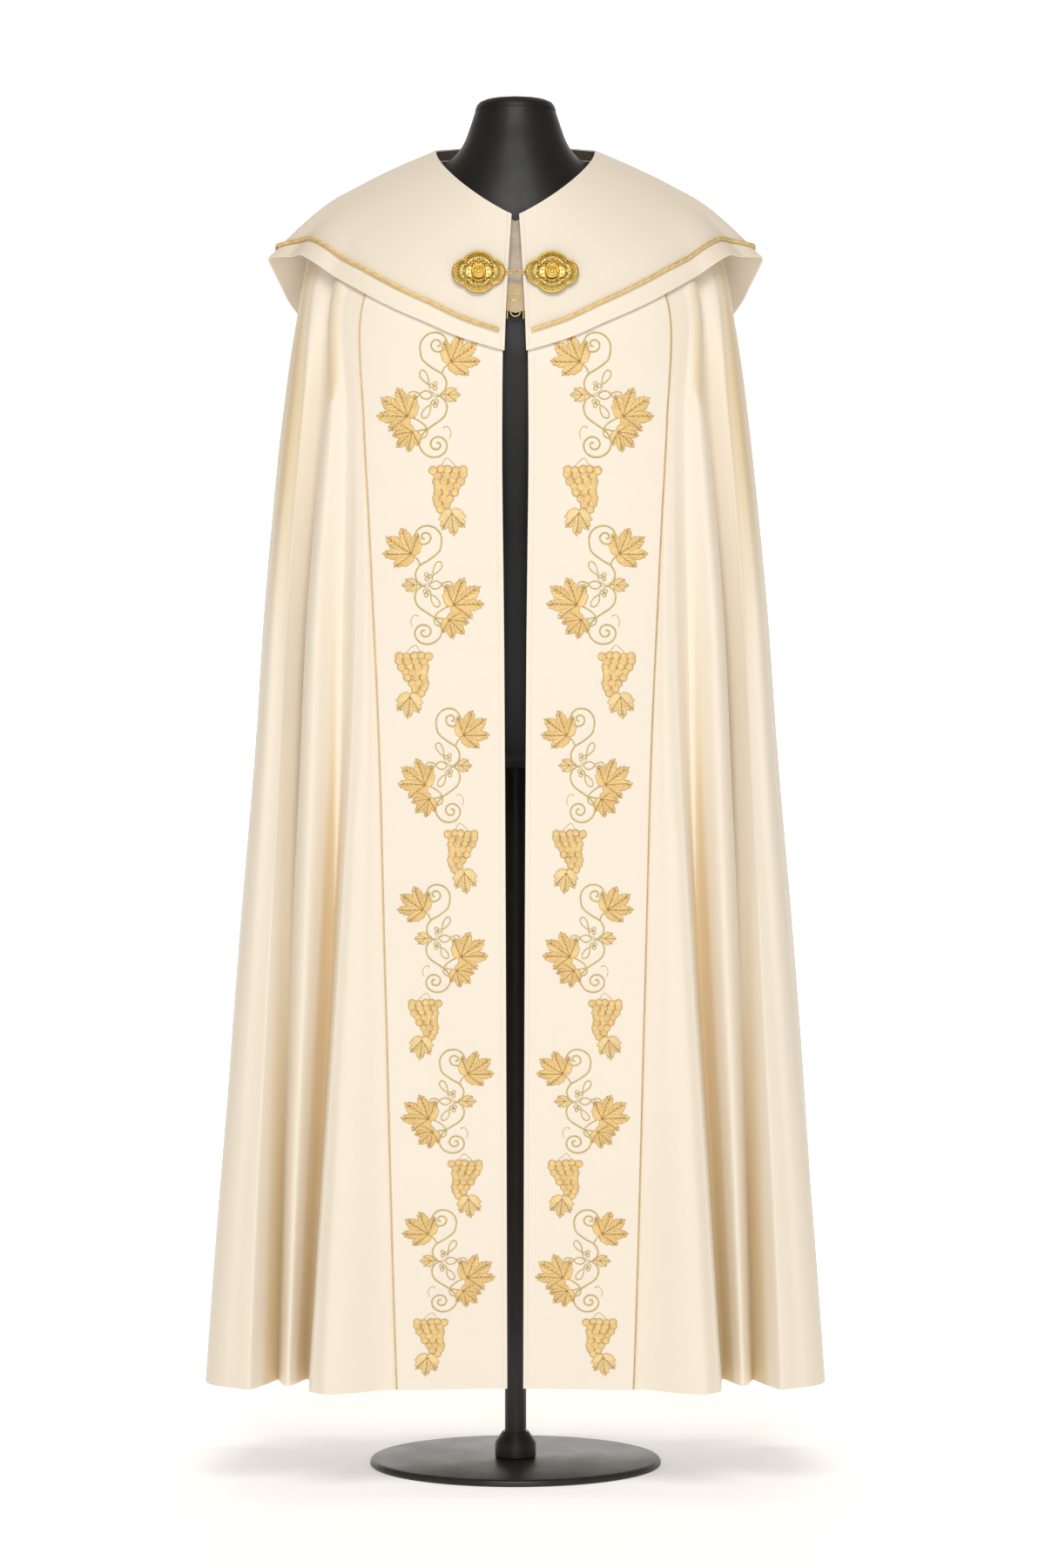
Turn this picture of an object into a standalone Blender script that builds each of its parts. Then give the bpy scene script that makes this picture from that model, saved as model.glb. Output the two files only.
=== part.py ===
"""Cope vestment, closed by a clasp, on a limbless dress form with a pole and a round base.

Metres, +Z up.  The wearer faces -Y and the wearer's left is +X.  The origin is on the floor under the pole.
All the cloth lies on one draped surface, draped(angle, drop): angle runs round the body in degrees from 0 at
the centre front to 180 at the centre back, positive on the wearer's left, and drop runs down the cloth from
0 at the neckline to 1 at the hem.
"""

import math

import bmesh
import bpy
import numpy as np

# ---------------------------------------------------------------- sizes

MANTLE_THICKNESS = 0.0018
BAND_THICKNESS = 0.0014
HOOD_THICKNESS = 0.0018
TAB_THICKNESS = 0.0014
TAB_BEHIND = 0.0024
LAYER_GAP = 0.0006
SEAM_GAP = 0.0003

HEM_DIP = 0.10
FORWARD_FOLDS = 0.3
TURN_STEP = 0.05
DROP_STEP = 0.002
SHARPEST_MITRE = 0.3
BAND_TOP = 0.085
BAND_HEM_WIDTH = 0.125
SIDE_SEAM_LINE = 10
SEAM_PIPING_RADIUS = 0.0012
BAND_EDGE_LINE = 1 - (SEAM_PIPING_RADIUS + LAYER_GAP) / BAND_HEM_WIDTH
HOOD_PIPING_RADIUS = 0.0024
HOOD_PIPING_START = 1.6
HOOD_EASE = 0.0062
HOOD_BACK_EASE = 0.006
HOOD_FLARE_POWER = 5.0
HOOD_BACK_POWER = 1.7

TAB_HALF_WIDTH = 0.042
TAB_TOP = 0.002
TAB_BOTTOM = 0.097

CLASP_X = 0.0418
CLASP_Z = 1.378
CLASP_LOBE_RADIUS = 0.0146
CLASP_LOBE_REACH_X = 0.0159
CLASP_LOBE_REACH_Z = 0.0104
CLASP_RIM = 0.0022
CLASP_DOME = 0.0036
CLASP_STAND = 0.0026
CLASP_PROFILE = [(1.0, 0.0), (0.86, 0.17), (0.5, 0.7), (0.27, 0.9)]
BOSS_PROFILE = [(0.0072, 0.0), (0.0072, 0.0012), (0.0058, 0.0022), (0.0034, 0.0026), (0.0018, 0.0034)]
LINK_LENGTH = 0.0092
LINK_HEIGHT = 0.0044
LINK_DEPTH = 0.0018
HOOK_HEIGHT = 0.0060
HOOK_DEPTH = 0.0026

NECK_CAP_HEIGHT = 0.0153
NECK_CAP_SHRINK = np.array((1.0, 0.985, 0.90, 0.68, 0.30))
NECK_CAP_RISE = np.array((0.0, 0.35, 0.70, 0.90, 1.0))
POLE_RADIUS = 0.0125
BASE_RADIUS = 0.170
BASE_THICKNESS = 0.008
BASE_BEVEL = 0.003
COLLAR_RADIUS = 0.024
COLLAR_HEIGHT = 0.030
COLLAR_SHOULDER = 0.6
COLLAR_LIP = 0.003

# Sections of the draped surface, without its folds.  Columns: drop, x and z at the side, y and z at the
# centre front, y and z at the centre back, and how square the ring is.
SECTIONS = np.array([
    (0.000, 0.091, 1.532, -0.108, 1.444, 0.072, 1.552, 0.20),
    (0.040, 0.135, 1.513, -0.120, 1.403, 0.110, 1.520, 0.30),
    (0.075, 0.175, 1.492, -0.130, 1.360, 0.138, 1.472, 0.40),
    (0.110, 0.216, 1.461, -0.137, 1.318, 0.156, 1.415, 0.50),
    (0.145, 0.242, 1.412, -0.142, 1.277, 0.168, 1.356, 0.58),
    (0.190, 0.2535, 1.345, -0.147, 1.235, 0.176, 1.290, 0.64),
    (0.250, 0.2655, 1.255, -0.152, 1.180, 0.184, 1.200, 0.70),
    (0.330, 0.2785, 1.140, -0.157, 1.100, 0.192, 1.110, 0.74),
    (0.420, 0.292, 1.000, -0.163, 0.985, 0.200, 0.985, 0.78),
    (0.530, 0.305, 0.830, -0.170, 0.830, 0.211, 0.830, 0.82),
    (0.680, 0.3255, 0.610, -0.180, 0.610, 0.228, 0.610, 0.88),
    (0.840, 0.345, 0.370, -0.192, 0.370, 0.248, 0.370, 0.96),
    (1.000, 0.3620, 0.117, -0.205, 0.117, 0.270, 0.117, 1.05),
])

# The lines that run down the mantle: the front edge, the seam of the embroidered band, and the crests and
# troughs of the large folds.  Each row gives a line's angle, then how far it stands out, at the drops in
# LINE_DROPS.  The front edge's angles come from EDGE_HALF_GAP instead.
LINE_DROPS = np.array([0.0, 0.15, 0.25, 0.46, 0.72, 1.0])
EDGE_HALF_GAP = np.array([0.0055, 0.0145, 0.0150, 0.0125, 0.0105, 0.0090])
LINES = [
    ("front edge", (0, 0, 0, 0, 0, 0), (0, 0, 0, 0, 0, 0)),
    ("band seam", (47, 43.3, 36.5, 27.7, 21.4, 16.3), (0, 0, 0, 0, 0.003, 0.012)),
    ("flat's end", (49, 45, 37.6, 30.4, 29, 27.6), (0, 0, 0, 0.004, 0.015, 0.050)),
    ("first crest", (51, 46.8, 38.7, 33, 31.4, 30.6), (0, 0, 0, 0.002, 0.010, 0.038)),
    ("first trough", (54, 50.5, 42.5, 37.8, 34.6, 33.6), (0, 0, 0, -0.019, -0.036, -0.044)),
    ("second crest", (57.5, 55.5, 48, 45.4, 40.5, 36.8), (0, 0.002, 0.006, 0.008, 0.007, 0.004)),
    ("second trough", (62, 60, 53, 52, 46.2, 40.4), (0, -0.006, -0.016, -0.026, -0.026, -0.034)),
    ("side lobe", (70, 68.4, 58.8, 55, 49.2, 44), (0, 0, 0.004, 0.011, 0.024, 0.048)),
    ("lobe's side", (77, 74, 64.2, 60.4, 55.6, 50.9), (0, 0.001, 0.009, 0.013, 0.0225, 0.0405)),
    ("silhouette", (92, 90, 84, 80, 75, 71), (0, 0, 0.002, 0.003, 0.003, 0.001)),
    ("side seam", (106, 106, 106, 106, 106, 106), (0, 0, -0.004, -0.016, -0.030, -0.046)),
    ("third crest", (118, 118, 118, 118, 118, 119), (0, 0, 0.002, 0.008, 0.014, 0.022)),
    ("third trough", (131, 131, 131, 131, 132, 133), (0, 0, -0.004, -0.016, -0.034, -0.052)),
    ("fourth crest", (143, 143, 143, 144, 145, 146), (0, 0, 0.001, 0.006, 0.014, 0.020)),
    ("fourth trough", (156, 156, 156, 157, 158, 159), (0, 0, -0.003, -0.014, -0.028, -0.046)),
    ("fifth crest", (168, 168, 168, 168, 169, 170), (0, 0, 0.001, 0.008, 0.018, 0.024)),
    ("centre back", (180, 180, 180, 180, 180, 180), (0, 0, 0, -0.006, -0.016, -0.026)),
]
SEGMENTS = [6, 2, 2, 3, 3, 3, 3, 3, 3, 2, 3, 3, 3, 3, 3, 3]
MANTLE_DROPS = np.array([0.012, 0.045, 0.085, 0.12, 0.155, 0.20, 0.26, 0.34, 0.44, 0.56, 0.69, 0.80, 0.90, 1.0])

# The hood's lower edge.  Columns: angle, drop, how far the edge stands off the mantle, and the cord's height
# above the edge, in drops.
HOOD_EDGE = np.array([
    (0, 0.138, 0.0062, 0.0175), (12, 0.138, 0.0062, 0.0175), (25, 0.135, 0.0062, 0.0170), (46, 0.1345, 0.0062, 0.0158),
    (58, 0.136, 0.0075, 0.0146), (67, 0.137, 0.0190, 0.0140), (74, 0.1385, 0.0235, 0.0130), (81, 0.1435, 0.0240, 0.0118),
    (91, 0.1525, 0.0475, 0.0086), (94, 0.1535, 0.0465, 0.0088), (106, 0.168, 0.0360, 0.0120), (118, 0.182, 0.0360, 0.0160),
    (135, 0.230, 0.0340, 0.0175), (150, 0.290, 0.0280, 0.0175), (165, 0.350, 0.0220, 0.0175), (180, 0.370, 0.0190, 0.0175),
])
# Half the gap between the hood's front edges.  Columns: drop, half gap.
HOOD_FRONT_GAP = np.array([(0, 0.0045), (0.04, 0.0070), (0.10, 0.0108), (0.14, 0.0125)])
HOOD_ANGLES = np.array([20, 32, 42, 52, 60, 67, 74, 81, 86, 91, 95, 100, 106, 112, 118, 127, 136, 147, 158, 169, 180.0])
HOOD_FRONT_PLACE = 0.45
HOOD_ROWS = np.array([0.0, 0.15, 0.30, 0.45, 0.60, 0.75, 0.88, 1.0, 1.5, 2.0])

# Sections of the form's torso, in the same columns as SECTIONS without the drop.
TORSO = np.array([
    (0.0475, 1.5817, -0.050, 1.5817, 0.056, 1.5817, 0.20),
    (0.0535, 1.564, -0.055, 1.561, 0.060, 1.566, 0.20),
    (0.0590, 1.549, -0.062, 1.540, 0.065, 1.553, 0.20),
    (0.0700, 1.532, -0.071, 1.508, 0.072, 1.537, 0.20),
    (0.0900, 1.518, -0.086, 1.455, 0.083, 1.522, 0.22),
    (0.1300, 1.500, -0.106, 1.402, 0.103, 1.503, 0.30),
    (0.1680, 1.478, -0.117, 1.360, 0.127, 1.462, 0.40),
    (0.2010, 1.446, -0.124, 1.318, 0.144, 1.408, 0.48),
    (0.2140, 1.405, -0.129, 1.277, 0.155, 1.352, 0.52),
    (0.2060, 1.345, -0.131, 1.230, 0.161, 1.290, 0.52),
    (0.1900, 1.250, -0.128, 1.180, 0.158, 1.200, 0.50),
    (0.1670, 1.150, -0.119, 1.110, 0.143, 1.115, 0.45),
    (0.1540, 1.065, -0.111, 1.055, 0.130, 1.055, 0.42),
    (0.1610, 0.985, -0.114, 0.985, 0.140, 0.985, 0.45),
    (0.1750, 0.905, -0.119, 0.905, 0.152, 0.905, 0.50),
    (0.1740, 0.850, -0.115, 0.850, 0.148, 0.850, 0.50),
    (0.1600, 0.825, -0.102, 0.825, 0.135, 0.825, 0.50),
    (0.1150, 0.815, -0.065, 0.815, 0.095, 0.815, 0.45),
])

# Name: colour, roughness, metallic.
FINISHES = {
    "cream_satin": ((0.86, 0.76, 0.60, 1), 0.55, 0.0),
    "gold_cord": ((0.80, 0.52, 0.18, 1), 0.40, 0.6),
    "tan_brocade": ((0.62, 0.48, 0.32, 1), 0.60, 0.0),
    "polished_gold": ((0.90, 0.62, 0.18, 1), 0.22, 1.0),
    "black_satin": ((0.012, 0.012, 0.012, 1), 0.35, 0.0),
    "black_metal": ((0.02, 0.02, 0.02, 1), 0.40, 1.0),
}


# ---------------------------------------------------------------- the draped surface

def smooth(where, knots, values):
    """Values of the monotone cubic through the knots: no bump beyond a row's own value."""
    knots = np.asarray(knots, float)
    values = np.asarray(values, float)
    step = np.diff(knots)
    step = step.reshape((-1,) + (1,) * (values.ndim - 1))
    rise = np.diff(values, axis=0) / step
    product = rise[:-1] * rise[1:]
    mean = 2 * product / np.where(product > 0, rise[:-1] + rise[1:], 1)
    slope = np.concatenate([rise[:1], np.where(product > 0, mean, 0), rise[-1:]])
    where = np.clip(np.asarray(where, float), knots[0], knots[-1])
    i = np.clip(np.searchsorted(knots, where, side="right") - 1, 0, len(knots) - 2)
    spread = where.shape + (1,) * (values.ndim - 1)
    h = (knots[i + 1] - knots[i]).reshape(spread)
    t = (where - knots[i]).reshape(spread) / h
    return ((1 + 2 * t) * (1 - t) ** 2 * values[i] + t * (1 - t) ** 2 * h * slope[i]
            + t * t * (3 - 2 * t) * values[i + 1] - t * t * (1 - t) * h * slope[i + 1])


def ring(angle, section):
    """A ring's points: x and y follow tanh of the sine and cosine, squarer as the last column grows."""
    side_x, side_z, front_y, front_z, back_y, back_z, square = np.moveaxis(section, -1, 0)
    across = np.sin(np.radians(angle))
    along = np.cos(np.radians(angle))
    x = side_x * np.tanh(square * across) / np.tanh(square)
    y = np.where(along > 0, front_y, back_y) * np.tanh(square * abs(along)) / np.tanh(square)
    near_centre = 0.5 * abs(along) + 0.5 * (1 - abs(across))
    z = side_z + (np.where(along > 0, front_z, back_z) - side_z) * near_centre
    return np.stack([x, y, z], -1)


def section_at(drop):
    """The draped surface's section at a drop."""
    return smooth(drop, SECTIONS[:, 0], SECTIONS[:, 1:])


def draped(angle, drop, out=0.0):
    """Points of the draped surface, moved out by a distance.

    Out is along the surface's normal at the sides, turned towards the front or the back elsewhere, so that
    folds stand forward; near the hem it dips, so that crests hang lower than troughs.
    """
    angle, drop, out = np.broadcast_arrays(angle, drop, out)
    section = section_at(drop)
    round_way = ring(angle + TURN_STEP, section) - ring(angle - TURN_STEP, section)
    below = section_at(np.minimum(drop + DROP_STEP, 1))
    above = section_at(np.maximum(drop - DROP_STEP, 0))
    outward = np.cross(ring(angle, below) - ring(angle, above), round_way)
    outward[..., 0] *= FORWARD_FOLDS + (1 - FORWARD_FOLDS) * np.sin(np.radians(angle)) ** 4
    outward /= np.linalg.norm(outward, axis=-1, keepdims=True)
    outward[..., 2] -= HEM_DIP * drop ** 6
    return ring(angle, section) + outward * out[..., None]


def angle_at(x, drop):
    """The angle at which the front of a ring passes x."""
    section = section_at(drop)
    side_x, square = section[..., 0], section[..., -1]
    return np.degrees(np.arcsin(np.arctanh(x / side_x * np.tanh(square)) / square))


def folded(line, drop, side, out=0.0):
    """Points of the mantle, folds included; line counts along LINES, side is 1 left or -1 right."""
    line, drop = np.broadcast_arrays(line, drop)
    angles = np.array([smooth(drop, LINE_DROPS, row[1]) for row in LINES])
    angles[0] = angle_at(smooth(drop, LINE_DROPS, EDGE_HALF_GAP), drop)
    reliefs = np.array([smooth(drop, LINE_DROPS, row[2]) for row in LINES])
    first = np.minimum(line.astype(int), len(LINES) - 2)
    part = line - first
    rows, columns = np.indices(line.shape)
    blend = part * part * (3 - 2 * part)
    a0, a1 = angles[first, rows, columns], angles[first + 1, rows, columns]
    r0, r1 = reliefs[first, rows, columns], reliefs[first + 1, rows, columns]
    return draped(side * (a0 + (a1 - a0) * part), drop, r0 + (r1 - r0) * blend + out)


def hood_points(angle, row, out=0.0):
    """Points of the hood: the draped surface moved out, and flaring towards its lower edge.

    row is 0 at the neckline, 1 at the cord and 2 at the edge.
    """
    angle, row = np.broadcast_arrays(angle, row)
    edge, stand, above = np.moveaxis(smooth(abs(angle), HOOD_EDGE[:, 0], HOOD_EDGE[:, 1:]), -1, 0)
    length = (edge - HOOD_EDGE[0, 1]) / (HOOD_EDGE[-1, 1] - HOOD_EDGE[0, 1])
    drop = (edge - above) * np.minimum(row, 1) ** (1 + (HOOD_BACK_POWER - 1) * length)
    drop = drop + above * np.maximum(row - 1, 0)
    part = drop / edge
    lift = HOOD_EASE + HOOD_BACK_EASE * length * np.sin(math.pi * part) ** 2
    lift = lift + (stand - HOOD_EDGE[0, 2]) * part ** HOOD_FLARE_POWER
    return draped(angle, drop, lift + out)


# ---------------------------------------------------------------- building blocks

def finish(name):
    """The named finish as a Principled BSDF material, made once."""
    if name in bpy.data.materials:
        return bpy.data.materials[name]
    colour, roughness, metallic = FINISHES[name]
    material = bpy.data.materials.new(name)
    material.use_nodes = True
    shader = material.node_tree.nodes["Principled BSDF"]
    shader.inputs["Base Color"].default_value = colour
    shader.inputs["Roughness"].default_value = roughness
    shader.inputs["Metallic"].default_value = metallic
    return material


def new_object(name, points, faces, finish_name):
    """A smooth-shaded object from points and faces, its faces turned outwards."""
    mesh = bpy.data.meshes.new(name)
    mesh.from_pydata([tuple(p) for p in points], [], faces)
    work = bmesh.new()
    work.from_mesh(mesh)
    bmesh.ops.recalc_face_normals(work, faces=work.faces)
    work.to_mesh(mesh)
    work.free()
    mesh.shade_smooth()
    mesh.materials.append(finish(finish_name))
    thing = bpy.data.objects.new(name, mesh)
    bpy.context.collection.objects.link(thing)
    return thing


def grid_faces(rows, columns, closed=False):
    """Triangles of a grid stored row by row, all cut along the same diagonal so that layers stay parallel."""
    faces = []
    for r in range(rows - 1):
        for c in range(columns if closed else columns - 1):
            here, beside = r * columns + c, r * columns + (c + 1) % columns
            faces += [(here, beside, beside + columns), (here, beside + columns, here + columns)]
    return faces


def wall(name, outer, inner, finish_name):
    """A sheet of cloth as a closed wall between two grids of the same size."""
    rows, columns = outer.shape[:2]
    size = rows * columns
    faces = grid_faces(rows, columns)
    faces += [tuple(size + i for i in reversed(face)) for face in grid_faces(rows, columns)]
    rim = [c for c in range(columns)]
    rim += [r * columns + columns - 1 for r in range(1, rows)]
    rim += [(rows - 1) * columns + c for c in range(columns - 2, -1, -1)]
    rim += [r * columns for r in range(rows - 2, 0, -1)]
    faces += [(a, a + size, b + size, b) for a, b in zip(rim, rim[1:] + rim[:1])]
    points = np.concatenate([outer.reshape(-1, 3), inner.reshape(-1, 3)])
    return new_object(name, points, faces, finish_name)


def stack(name, rings, finish_name):
    """A closed solid from rings stacked top to bottom, with flat ends."""
    rows, columns = rings.shape[:2]
    faces = grid_faces(rows, columns, closed=True)
    faces += [tuple(range(columns)), tuple((rows - 1) * columns + c for c in range(columns))]
    return new_object(name, rings.reshape(-1, 3), faces, finish_name)


def turned(name, profile, finish_name, sides=32):
    """A solid turned round the Z axis from a profile of radius and height."""
    angles = np.linspace(0, 2 * math.pi, sides, endpoint=False)
    radius, height = np.array(profile, float).T
    rings = np.stack([
        radius[:, None] * np.cos(angles), radius[:, None] * np.sin(angles), height[:, None] + 0 * angles,
    ], -1)
    return stack(name, rings, finish_name)


def cord(name, path, radius, finish_name):
    """A round cord along a path, as a bevelled curve with filled ends."""
    curve = bpy.data.curves.new(name, "CURVE")
    curve.dimensions = "3D"
    curve.bevel_depth = radius
    curve.bevel_resolution = 1
    curve.use_fill_caps = True
    spline = curve.splines.new("POLY")
    spline.points.add(len(path) - 1)
    for knot, point in zip(spline.points, path):
        knot.co = (*point, 1)
    curve.materials.append(finish(finish_name))
    thing = bpy.data.objects.new(name, curve)
    bpy.context.collection.objects.link(thing)
    return thing


def inward(grid, out, thickness):
    """A grid's inside layer, moved in square to the cloth on both sides of each column, as a mitre is."""
    down = np.gradient(grid, axis=0)
    steps = np.diff(grid, axis=1)
    squares = []
    for along in (np.hstack([steps[:, :1], steps]), np.hstack([steps, steps[:, -1:]])):
        square = np.cross(down, along)
        square /= np.linalg.norm(square, axis=-1, keepdims=True)
        squares.append(square * np.sign(np.sum(square * (out - grid), axis=-1, keepdims=True)))
    meeting = 1 + np.sum(squares[0] * squares[1], axis=-1, keepdims=True)
    return grid - thickness * (squares[0] + squares[1]) / np.maximum(meeting, SHARPEST_MITRE)


def pull_in(grid, edge, inside):
    """Moves a grid's edge column half a seam's gap towards the column inside it."""
    way = grid[:, inside] - grid[:, edge]
    grid[:, edge] += way / np.linalg.norm(way, axis=-1, keepdims=True) * SEAM_GAP / 2


def line_places(first, last):
    """The places along LINES where the mantle has a row of points, from one line to another."""
    places = [np.linspace(i, i + 1, SEGMENTS[i], endpoint=False) for i in range(first, last)]
    return np.append(np.concatenate(places), last)


# ---------------------------------------------------------------- the cope

def mantle():
    """Two fronts and a back, seamed at the sides."""
    drops = MANTLE_DROPS[:, None]
    front_places = np.sort(np.append(line_places(0, SIDE_SEAM_LINE), BAND_EDGE_LINE))
    back_places = line_places(SIDE_SEAM_LINE, len(LINES) - 1)
    backs = []
    for out in (0, MANTLE_THICKNESS):
        halves = [folded(back_places, drops, side, out) for side in (1, -1)]
        backs.append(np.concatenate([halves[0], halves[1][:, -2::-1]], axis=1))
    backs[1] = inward(*backs, MANTLE_THICKNESS)
    for grid in backs:
        pull_in(grid, 0, 1)
        pull_in(grid, -1, -2)
    wall("mantle_back", *backs, "cream_satin")
    for side, word in ((1, "left"), (-1, "right")):
        layers = [folded(front_places, drops, side, out) for out in (0, MANTLE_THICKNESS)]
        layers[1] = inward(*layers, MANTLE_THICKNESS)
        for grid in layers:
            pull_in(grid, -1, -2)
        wall(f"mantle_front_{word}", *layers, "cream_satin")


def bands():
    """The embroidered bands down the two front edges, each with a thin piping along its outer seam."""
    drops = MANTLE_DROPS[MANTLE_DROPS >= BAND_TOP][:, None]
    inside = LAYER_GAP
    outside = LAYER_GAP + BAND_THICKNESS
    for side, word in ((1, "left"), (-1, "right")):
        places = line_places(0, 1)
        places[-1] = BAND_EDGE_LINE
        wall(f"orphrey_{word}", folded(places, drops, side, outside), folded(places, drops, side, inside),
             "cream_satin")
        path = folded(np.ones(1), drops, side, SEAM_PIPING_RADIUS + LAYER_GAP)[:, 0]
        cord(f"orphrey_piping_{word}", path, SEAM_PIPING_RADIUS, "gold_cord")


def hood():
    """The hood: over both shoulders and down the back in a shield, with a cord above its edge."""
    rows = HOOD_ROWS[:, None]
    signed = np.concatenate([HOOD_ANGLES, -HOOD_ANGLES[-2::-1]])
    edge, above = HOOD_EDGE[0, 1], HOOD_EDGE[0, 3]
    front_rows = np.minimum(HOOD_ROWS, 1) * (edge - above) + np.maximum(HOOD_ROWS - 1, 0) * above
    front = angle_at(smooth(front_rows, HOOD_FRONT_GAP[:, 0], HOOD_FRONT_GAP[:, 1]), front_rows)
    near = front + (HOOD_ANGLES[0] - front) * HOOD_FRONT_PLACE
    middle = np.broadcast_to(signed, (len(HOOD_ROWS), len(signed)))
    full = np.column_stack([front, near, middle, -near, -front])
    outer = hood_points(full, rows)
    wall("hood", outer, hood_points(full, rows, -HOOD_THICKNESS), "cream_satin")
    cord_row = list(HOOD_ROWS).index(1.0)
    away = LAYER_GAP + HOOD_PIPING_RADIUS
    path = hood_points(full[cord_row, 1:-1], 1.0, away)
    ends = [hood_points(side * front[cord_row] * HOOD_PIPING_START, 1.0, away) for side in (1, -1)]
    cord("hood_piping", [ends[0], *path, ends[1]], HOOD_PIPING_RADIUS, "gold_cord")


def closing_tab():
    """The tab behind the two front edges, which closes the neck above the bands."""
    drops = np.linspace(TAB_TOP, TAB_BOTTOM, 5)[:, None]
    across = np.linspace(-TAB_HALF_WIDTH, TAB_HALF_WIDTH, 7)
    angles = angle_at(across, drops)
    outside = -MANTLE_THICKNESS - TAB_BEHIND
    wall("closing_tab", draped(angles, drops, outside), draped(angles, drops, outside - TAB_THICKNESS),
         "tan_brocade")


# ---------------------------------------------------------------- the clasp

def quatrefoil(theta):
    """Distance from a medallion's centre to its outline: the farthest of four overlapping round lobes."""
    reach = 0
    for k in range(4):
        far = CLASP_LOBE_REACH_X if k % 2 == 0 else CLASP_LOBE_REACH_Z
        turn = theta - k * math.pi / 2
        inside = np.maximum(CLASP_LOBE_RADIUS ** 2 - (far * np.sin(turn)) ** 2, 0)
        reach = np.maximum(reach, far * np.cos(turn) + np.sqrt(inside))
    return reach


def clasp_place(side):
    """A medallion's centre on the hood, and the directions across, up and out of it."""
    x = side * CLASP_X
    drops = np.linspace(0.03, 0.10, 141)
    points = hood_points(angle_at(x, drops), drops / (HOOD_EDGE[0, 1] - HOOD_EDGE[0, 3]))
    centre = points[np.argmin(abs(points[:, 2] - CLASP_Z))]
    up = points[np.argmin(abs(points[:, 2] - CLASP_Z - 0.02))] - centre
    up[0] = 0
    up /= np.linalg.norm(up)
    across = np.array((1.0, 0, 0))
    out = np.cross(across, up)
    return centre + out * CLASP_STAND, across, up, out


def clasp():
    """Two domed quatrefoil medallions, their bosses, and the links and hook that join them."""
    theta = np.linspace(0, 2 * math.pi, 48, endpoint=False)
    outline = quatrefoil(theta)
    profile = [(part, CLASP_RIM + CLASP_DOME * rise) for part, rise in CLASP_PROFILE]
    profile.insert(0, (1.0, 0.0))
    inner = CLASP_X - CLASP_LOBE_REACH_X - CLASP_LOBE_RADIUS - SEAM_GAP
    for side, word in ((1, "left"), (-1, "right")):
        centre, across, up, out = clasp_place(side)
        flat = np.cos(theta)[:, None] * across + np.sin(theta)[:, None] * up
        rings = np.array([centre + flat * outline[:, None] * part + out * height for part, height in profile])
        stack(f"clasp_medallion_{word}", rings, "polished_gold")
        start = profile[-1][1] + SEAM_GAP
        turns = np.linspace(0, 2 * math.pi, 24, endpoint=False)
        circle = np.cos(turns)[:, None] * across + np.sin(turns)[:, None] * up
        rings = np.array([centre + circle * radius + out * (start + height) for radius, height in BOSS_PROFILE])
        stack(f"clasp_boss_{word}", rings, "polished_gold")
        middle = centre - across * side * (CLASP_X - inner + LINK_LENGTH / 2) + out * CLASP_RIM / 2
        bar(f"clasp_link_{word}", middle, (LINK_LENGTH, LINK_DEPTH, LINK_HEIGHT))
    between = 2 * (inner - LINK_LENGTH) - 2 * SEAM_GAP
    bar("clasp_hook", centre + across * CLASP_X + out * CLASP_RIM / 2, (between, HOOK_DEPTH, HOOK_HEIGHT))


def bar(name, centre, size):
    """A small block with rounded edges."""
    mesh = bpy.data.meshes.new(name)
    work = bmesh.new()
    bmesh.ops.create_cube(work, size=1)
    bmesh.ops.scale(work, vec=size, verts=work.verts)
    bmesh.ops.translate(work, vec=centre, verts=work.verts)
    bmesh.ops.bevel(work, geom=work.edges, offset=min(size) / 4, segments=1, affect="EDGES")
    work.to_mesh(mesh)
    work.free()
    mesh.materials.append(finish("polished_gold"))
    thing = bpy.data.objects.new(name, mesh)
    bpy.context.collection.objects.link(thing)


# ---------------------------------------------------------------- the form

def form():
    """The torso, its neck cap, and the pole and base that it stands on."""
    angles = np.linspace(-180, 180, 48, endpoint=False)
    stack("form_torso", ring(angles, TORSO[:, None, :]), "black_satin")
    neck = TORSO[0]
    cap = np.tile(neck, (len(NECK_CAP_RISE), 1))
    cap[:, (0, 2, 4)] *= NECK_CAP_SHRINK[:, None]
    cap[:, (1, 3, 5)] += NECK_CAP_RISE[:, None] * (NECK_CAP_HEIGHT - SEAM_GAP) + SEAM_GAP
    stack("form_neck_cap", ring(angles, cap[::-1, None, :]), "black_satin")
    torso_bottom = TORSO[-1, 1]
    pole_bottom = BASE_THICKNESS + SEAM_GAP
    turned("form_pole", [(POLE_RADIUS, torso_bottom - SEAM_GAP), (POLE_RADIUS, pole_bottom)], "black_metal", 20)
    collar_hole = POLE_RADIUS + SEAM_GAP
    collar_ring("form_collar", collar_hole, COLLAR_RADIUS, pole_bottom, pole_bottom + COLLAR_HEIGHT)
    turned("form_base", [
        (BASE_RADIUS - BASE_BEVEL, BASE_THICKNESS), (BASE_RADIUS, BASE_THICKNESS - BASE_BEVEL), (BASE_RADIUS, 0.0),
    ], "black_metal", 48)


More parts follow.
